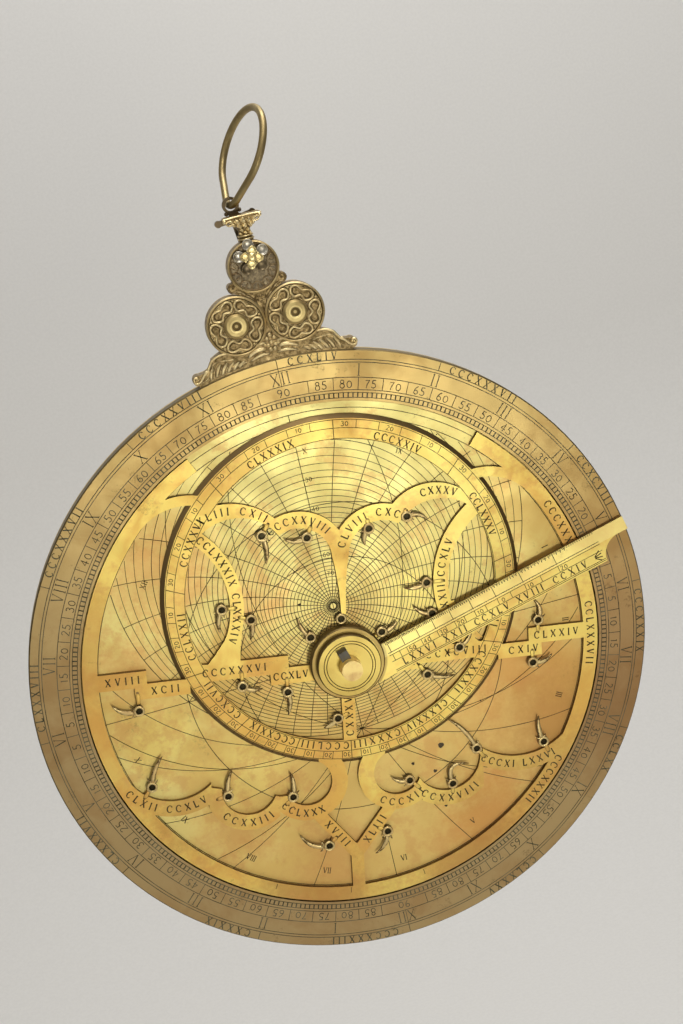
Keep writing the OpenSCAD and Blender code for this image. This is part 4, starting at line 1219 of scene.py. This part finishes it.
def roundel_loops(name, way):
    """Five bone-shaped loops round the boss of a lower roundel."""
    relief = Relief()
    centre = (way * ROUNDEL_X, ROUNDEL_Z)
    middle_r = 9.15
    high = [(5.2, 0.4), (4.5, 2.2), (2.9, 2.8), (1.3, 2.0), (0, 1.15)]
    low = [(4.6, -1.5), (3.1, -2.3), (1.4, -1.7), (0, -1.2)]
    loop = mirrored(high[:-1], -1) + high[::-1] + low + mirrored(low[:-1], -1)[::-1]
    for lobe in range(5):
        base = -90 + way * 4 + lobe * 72

        def at(u, v, lean=0):
            return bent(centre, middle_r + v, base + lean, -u, middle_r)

        relief.rope([at(u, v) for u, v in loop], 0.62, 1.0, FIELD_Y - 0.05, closed=True, per=4)
        inner = [at(u * 0.80, 0.1 + (v - 0.1) * 0.66) for u, v in loop]
        relief.rope(inner, 0.26, 0.30, FIELD_Y, closed=True, per=3)
        # A small leaf fills the dent of the outer side, and a bud the room between two loops
        relief.leaf([at(-1.3, 3.1), at(0, 2.1), at(1.3, 3.1)], 0.9, 0.6, FIELD_Y - 0.1)
        relief.bead(at(0, 2.4, 36), 0.8, 0.75, FIELD_Y)
    for r, thick in ((6.3, 0.30), (12.1, 0.34)):
        circle = [on_circle(centre, r, i * 15) for i in range(24)]
        relief.rope(circle, thick, thick + 0.15, FIELD_Y - 0.05, closed=True, per=3)
    relief.build("roundel_loops_" + name, "mater", CARVED_BRONZE, "throne_bronze", ("tracery_" + name,))


# Right half of the throne's carving. Ropes: line, half width, rise and depth behind the base's crests.
THRONE_ROPES = (
    # Border from the foot's volute over the peak to the roundel, and the one inside it
    (((36.3, 149.2), (36.7, 150.3), (37.9, 150.2), (38.3, 148.8), (37.0, 147.7), (35.2, 148.4),
      (33.4, 150.4), (31.4, 152.0), (29.8, 154.3), (28.6, 156.0), (26.0, 157.4), (23.6, 157.9),
      (21.0, 158.0)), 0.62, 0.95, 0.0),
    (((35.4, 147.4), (32.4, 148.4), (30.4, 150.4), (28.9, 153.2), (27.6, 154.8), (24.0, 155.0),
      (18.4, 154.4)), 0.34, 0.55, 0.0),
    # Curl of the ear beside the top roundel
    (((9.6, 184.2), (12.0, 183.7), (13.3, 185.3), (12.3, 187.2), (10.8, 186.6), (11.4, 185.3)),
     0.55, 0.9, 0.6),
)
# Leaves: line, width, height and depth
THRONE_LEAVES = (
    (((30.8, 152.2), (32.2, 152.0), (33.6, 150.8)), 1.1, 0.9, 0.0),
    # Beside the flower
    (((2.9, 155.6), (7.6, 155.7), (12.2, 153.4)), 2.5, 1.1, 0.0),
    (((1.6, 153.0), (6.2, 153.2), (11.4, 151.6)), 1.7, 0.9, 0.0),
    (((2.6, 158.2), (5.6, 158.4), (8.4, 156.9)), 1.5, 0.9, 0.0),
    # On the webs, up to the ears
    (((0.4, 160.4), (1.9, 163.2), (0.6, 166.6)), 1.3, 1.1, 0.6),
    (((0.9, 172.0), (2.6, 176.2), (2.3, 180.4)), 1.6, 1.1, 0.6),
    (((2.4, 177.2), (5.2, 180.4), (8.6, 181.6)), 1.7, 1.1, 0.6),
    (((4.6, 179.8), (8.4, 183.2), (12.0, 183.8)), 1.6, 1.1, 0.6),
    (((3.0, 180.8), (4.8, 182.4), (7.4, 183.6)), 1.0, 1.1, 0.6),
)
# Feathers that lean towards the middle: foot and tip
FEATHERS = (
    (30.6, 147.8, 28.2, 153.6), (27.9, 148.3, 24.6, 154.2), (25.2, 148.8, 21.4, 153.9),
    (22.4, 149.3, 18.4, 153.5), (19.6, 149.8, 16.0, 152.9), (16.9, 150.3, 13.6, 152.6),
)


def throne_carving():
    """Leaves, flower, feathers and volutes of the throne's base and webs."""
    relief = Relief()
    y = BASE_Y + 0.15
    for way in (-1, 1):
        for line, half, rise, depth in THRONE_ROPES:
            relief.rope(mirrored(line, way), half, rise, y + depth)
        for line, width, height, depth in THRONE_LEAVES:
            relief.leaf(mirrored(line, way), width, height, y + depth)
        for x0, z0, x1, z1 in FEATHERS:
            x, z = (x0 + x1) / 2, (z0 + z1) / 2
            relief.leaf(mirrored([(x0, z0), (x + 0.5, z), (x1, z1)], way), 1.9, 1.0, y)
            barb = [(x0 - 1.5, z0 + 0.1), (x - 1.0, z + 0.1), (x1 - 1.1, z1 - 0.8)]
            relief.leaf(mirrored(barb, way), 0.9, 0.6, y)
        for x, z, r, rise in ((37.2, 149.1, 0.7, 0.9), (1.7, 159.9, 1.0, 1.0), (3.1, 157.2, 0.9, 1.0)):
            relief.bead((way * x, z), r, rise, y)
    for k in range(5):
        relief.bead(on_circle((0, 156.3), 1.75, 90 + 72 * k), 1.05, 1.15, y)
        relief.bead(on_circle((0, 178.4), 1.35, 54 + 72 * k), 0.62, 0.9, y + 0.5)
    relief.bead((0, 161.4), 1.2, 1.1, y)
    relief.leaf([(0, 174.6), (0.3, 171.0), (0, 165.6)], 1.3, 1.0, y + 0.6)
    relief.build("throne_leaf_carving", "mater", LEAF_BRONZE, "throne_bronze")


# Pairs of leaves on the bell under the abacus: place and size
BELL_LEAVES = (
    (0.0, 214.4, 1.25), (2.6, 214.0, 1.1), (5.0, 214.2, 1.0), (2.9, 211.9, 0.95), (0.4, 211.9, 0.95),
    (-2.2, 211.9, 0.95), (4.4, 212.6, 0.75), (-4.6, 212.9, 0.8), (-2.7, 213.9, 1.1), (-5.3, 214.4, 0.9),
    (1.5, 209.9, 0.75), (-1.3, 209.9, 0.75), (0.1, 208.6, 0.7), (2.1, 208.3, 0.65), (-2.1, 208.3, 0.65),
)


def capital_carving():
    """Flower, leaves and little volutes on the bell under the abacus."""
    relief = Relief()
    neck_y = 19.9
    for x, z, r in BELL_LEAVES:
        # The bell's lower part is round, so leaves beside its middle lie deeper
        y = BASE_Y + 0.2 if z > 211.5 else BASE_Y + 0.9 + 0.12 * x * x
        long_leaf = [(0.9 * x, z - 1.2 * r), (x + 0.4 * r, z - 0.2 * r), (1.14 * x - 0.2, z + 1.1 * r)]
        relief.leaf(long_leaf, 1.9 * r, 1.2, y)
        relief.leaf([(0.9 * x, z - 0.9 * r), (x - 0.7 * r, z), (x - 0.9 * r, z + 0.7 * r)], 0.9 * r, 1.0, y)
    for way in (-1, 1):
        volute = [(4.2, 213.2), (6.4, 212.9), (7.4, 214.0), (6.5, 214.9), (5.7, 214.2)]
        relief.rope(mirrored(volute, way), 0.45, 0.8, BASE_Y + 0.1)
        relief.bead((way * 8.0, 215.0), 0.95, 1.0, BASE_Y + 0.1)
    # Bright edge of the abacus and the two collars of the neck
    edge = [(-8.9, 215.9), (-4.5, 216.2), (0, 216.25), (4.5, 216.2), (8.9, 215.9)]
    relief.rope(edge, 0.42, 0.7, BASE_Y + 0.1)
    for z, r in ((205.7, 3.8), (207.2, 3.6)):
        start = len(relief.verts)
        relief.rope([(r * math.sin(math.radians(t)), z) for t in range(-78, 79, 26)], 0.42, 0.5, neck_y)
        for k in range(start, len(relief.verts)):
            x, y, high = relief.verts[k]
            relief.verts[k] = (x, y - math.sqrt(max(0, r * r - x * x)), high)
    relief.build("capital_leaves", "mater", CAPITAL_BRONZE, "throne_bronze")


def top_roundel_ornament():
    """Foliate arcs in the dark dish of the top roundel."""
    relief = Relief()
    centre = (0, TOP_Z)
    for i in range(7):
        base = -90 + (i - 3) * 33

        def line(*places):
            return [bent(centre, r, base, u, 8.4) for u, r in places]

        relief.rope(line((-2.2, 10.0), (-2.1, 8.2), (-0.9, 7.0), (0.9, 7.0), (2.1, 8.2), (2.2, 10.0)),
                    0.26, 0.45, FIELD_Y)
        relief.leaf(line((0, 7.9), (0.2, 8.8), (0, 10.0)), 1.0, 0.45, FIELD_Y)
        relief.leaf(line((2.8, 9.9), (2.5, 8.8), (2.6, 7.6)), 0.7, 0.4, FIELD_Y)
    rim = [(10.1, 0.05), (10.2, -0.35), (10.6, -0.5), (10.7, 0.05)]
    relief.lathe(centre, [(r, FIELD_Y + depth) for r, depth in rim], 64)
    relief.build("top_roundel_leaves", "mater", DARK_RELIEF, "throne_bronze")


def flower(finish, material, count, at_r, petal_r, turn, y, depth, pointed):
    """A rosette's petals with raised rims, domed or, when pointed, lozenge-shaped and hollow. The first lies
    in the direction turn, at_r from the pin; their fronts are at y and their backs at y + depth."""
    relief = Relief()
    centre = (0, PIVOT_Z)
    # Share of the outline's size and depth of each ring of a petal
    steps = ((0.98, depth), (1.03, 0.2), (1.0, 0.0), (0.92, -0.06), (0.85, 0.02), (0.80, 0.18))
    steps += ((0.5, 0.16), (0.2, 0.24)) if pointed else ((0.6, 0.42), (0.36, 0.55), (0.12, 0.60))
    for i in range(count):
        a = turn + i * 360 / count
        middle = Vector(on_circle(centre, at_r, a))
        outline = []
        for k in range(24):
            t = math.tau * k / 24
            r = petal_r
            if pointed:
                r *= (1.25 if math.cos(t) > 0 else 1.0) / (abs(math.cos(t)) + abs(math.sin(t)) ** 2.2)
            outline.append(on_circle(middle, r, a + 15 * k))
        relief.petal(middle, outline, y, steps)
    rim_r, rim_y = (1.35, y - 0.5) if pointed else (2.6, y + 0.1)
    outer_r = rim_r + 0.4
    rim = [(0.55, rim_y + 0.5), (0.6, rim_y), (rim_r, rim_y), (outer_r, rim_y + 0.3), (outer_r, y + depth)]
    relief.lathe(centre, rim, 24)
    relief.build("rosette_" + finish + "_petals", "mater", material, finish, ("rosette_" + finish,))


# Rule

def on_rule(u, v):
    """Place on the rule's upper face: u from the pin along it, v up from its lower reading edge."""
    w = -v
    if w >= RULE_BEVEL:
        y = RULE_FACE_Y - CUT
    else:
        y = RULE_FACE_Y + (RULE_EDGE_Y - RULE_FACE_Y) * (RULE_BEVEL - w) / RULE_BEVEL - CUT * 1.3
    x, z = turned(u, v, RULE_TURN)
    return (x, y, z)


def rule_engraving():
    """Scales and numbers of the rule, which read from the pin outwards."""
    cut = Engraving(on_rule)
    start, end = 19.0, 133.0
    for w in (5.6, 6.9, 10.3, 14.9, 15.7):
        cut.stroke([(start + i * 3, -w) for i in range(int((end - start) / 3) + 1)] + [(end + 0.8, -w)], 0.3)
    # Scale of declinations
    for degree in range(-23, 68):
        u = sky_radius(math.radians(degree))
        if u < 20 or u > end:
            continue
        five = degree % 5 == 0
        ten = degree % 10 == 0
        cut.stroke([(u, -0.35), (u, -5.6 if ten else -1.6)], 0.34 if five else 0.42)
        cut.stroke([(u, -5.6), (u, -6.9)], 0.28)
        if five:
            cut.stroke([(u, -6.9), (u, -10.3)], 0.3)
        if ten and 23 < u < end - 4:
            cut.signs(str(abs(degree)), (u + 2.6, -8.6), 90, 2.6, 0.34)
    for first, last in ((24, 58), (63, 100), (106, 124)):
        cut.label([(u, -12.6) for u in range(first, last + 1)], first, 3.5, 0.48)
    # Leaf at the end of the rule
    for angle in (-38, -14, 12, 36):
        cut.stroke([on_circle((128.5, -12.2), r, angle) for r in (0.6, 4.4)], 0.5)
    cut.build("rule_scale", "rule", LINE, "rete_brass")


def rule_teeth():
    """Fine notches' ridges along the reading edge."""
    relief = Relief()
    u = 20.0
    while u < 133:
        line = [turned(u, v, RULE_TURN) for v in (0.05, -0.9)]
        relief.sweep(line, 0.28, [0.2, 0.08], RULE_EDGE_Y - 0.12, sides=6)
        u += 1.15
    relief.build("rule_edge_teeth", "rule", RULE_BRASS, "rete_brass")


# Back

def bar_engraving():
    """Border lines, a divided scale and its numbers on the rear face of the sighting bar."""
    cut = Engraving(rear(BAR_Y))
    for way in (-1, 1):
        for height in (-6.6, -5.5, 5.5, 6.6):
            cut.stroke([(way * 19, height), (way * 106, height)], 0.3)
        cut.stroke([(way * 118, 0), (way * 143, 0)], 0.3)
        for step in range(18):
            u = way * (20 + 5 * step)
            cut.stroke([(u, -5.5), (u, -4.4 if step % 3 else -2.2)], 0.28)
        for number in range(1, 7):
            cut.signs(roman(number), (way * (12.5 + 15 * number), 1.6), 90, 4.2, 0.45)
    cut.build("sighting_bar_scale", "sighting_bar", LINE, "rete_brass")


def back_engraving():
    """Height scale, calendar circles and shadow square, as such an instrument has on its back."""
    cut = Engraving(rear(REAR_Y))
    rim, ones, ladder = 148.0, 145.6, 143.4
    thirds, days_end, days, months = 137.4, 131.6, 129.4, 116.8
    for r in (rim, ones, ladder, thirds, days_end, days, 122.6, months):
        cut.arc(AXIS, r, 0.32)
    for degree in range(360):
        cut.spoke(degree, ladder, ones if degree % 5 else rim, 0.3)
        cut.spoke(degree, days, days_end, 0.26)
    for angle in range(0, 360, 10):
        quarter = angle % 180
        cut.signs(str(min(quarter, 180 - quarter)), on_circle(AXIS, 140.4, angle), angle, 3.4, 0.36)
    for month in range(12):
        a = month * 30
        cut.spoke(a, months, thirds, 0.34)
        cut.signs(roman(month + 1), on_circle(AXIS, 126.0, a + 15), a + 15, 3.8, 0.42, 0.14)
        for part in (10, 20):
            cut.spoke(a + part, days_end, thirds, 0.28)
    shadow_square(cut)
    # Unequal hours above the pin
    arcs_r = 52.0
    for way in (-1, 1):
        def in_quarter(x, z):
            return math.hypot(x, z) < arcs_r and z > 0.5 and x * way > -0.5

        for hour in range(1, 6):
            r = arcs_r / (2 * math.sin(math.radians(hour * 15)))
            cut.arc((0, r), r, 0.26, -90, -90 + way * 90, in_quarter)
    cut.arc(AXIS, arcs_r, 0.3, 0, 180)
    cut.build("back_scales", "mater", LINE, "limb_brass")


def shadow_square(cut):
    half = 58.0
    cut.stroke([(-half, 0), (half, 0)], 0.34)
    for inset in (0.0, 4.0, 9.0):
        w = half - inset
        cut.stroke([(-w, 0), (-w, -w), (w, -w), (w, 0)], 0.34)
    for step in range(1, 12):
        share = step / 12
        ends = (half, half - (4.0 if step % 3 else 9.0))
        for way in (-1, 1):
            cut.stroke([(way * share * r, -r) for r in ends], 0.28)
            cut.stroke([(way * r, -share * r) for r in ends], 0.28)
    for step in (3, 6, 9, 12):
        for way in (-1, 1):
            cut.signs(str(step), (way * (half - 12), -half * step / 12 + 2.5), 90, 3.2, 0.36)
            cut.signs(str(step), (way * (half * step / 12 - 2.5), -half + 12), 90, 3.2, 0.36)


# Finishes of the carried-over CAD nodes

def dress_nodes():
    finishes = {
        "back_plate": BACK_BRASS, "limb": LIMB_BRASS, "plate_upper": PLATE_BRASS, "plate_middle": PLATE_BRASS,
        "plate_lower": PLATE_BRASS, "throne": THRONE_BRONZE, "throne_dowels": BOSS_BRASS,
        "boss_left": BOSS_BRASS, "boss_right": BOSS_BRASS, "tracery_left": CARVED_BRONZE,
        "tracery_right": CARVED_BRONZE, "rosette_silver": SILVER, "rosette_gilt": GILT, "rosette_pin": GILT,
        "main_pin": PIN_COPPER, "washer": HUB_BRASS, "rete": RETE_BRASS, "star_pointers": POINTER_BRASS,
        "rule": RULE_BRASS, "wedge": IRON, "alidade": BAR_BRASS, "vane_left": VANE_BRASS,
        "vane_right": VANE_BRASS, "vane_pin_left": RING_BRONZE, "vane_pin_right": RING_BRONZE,
        "shackle": SHACKLE_BRONZE, "suspension_ring": RING_BRONZE,
    }
    for name, material in finishes.items():
        mesh = nodes[name].data
        mesh.materials.clear()
        mesh.materials.append(material)


make_camera()
set_world()
studio_cove()
key_way = Vector((0.12, -0.98, -0.16))
area_lamp("key_lamp", key_way * 1.3 + Vector((0, 0, 0.02)), (0, 0.016, 0.02), 0.22, 2.9, (1.0, 0.95, 0.82))
area_lamp("top_lamp", (0.11, -0.55, 0.98), (0, 0, 0.10), 0.40, 2.5, (1.0, 0.95, 0.86))
area_lamp("fill_lamp", (-1.0, -0.9, 0.9), (0, 0, 0.05), 0.9, 2.0, (1.0, 0.96, 0.88))
area_lamp("backdrop_lamp", (0.5, 0.35, 2.0), (0, 1.5, 0.0), 1.6, 34.0, (1.0, 1.0, 1.0))

dress_nodes()
limb_engraving()
plate_engraving()
rete_engraving()
star_pointers()
rule_engraving()
rule_teeth()
roundel_loops("left", -1)
roundel_loops("right", 1)
throne_carving()
capital_carving()
top_roundel_ornament()
flower("silver", SILVER, 5, 5.75, 2.55, 94, 14.65, 0.75, pointed=False)
flower("gilt", GILT, 4, 2.65, 2.05, 76, 13.5, 0.95, pointed=True)
bar_engraving()
back_engraving()
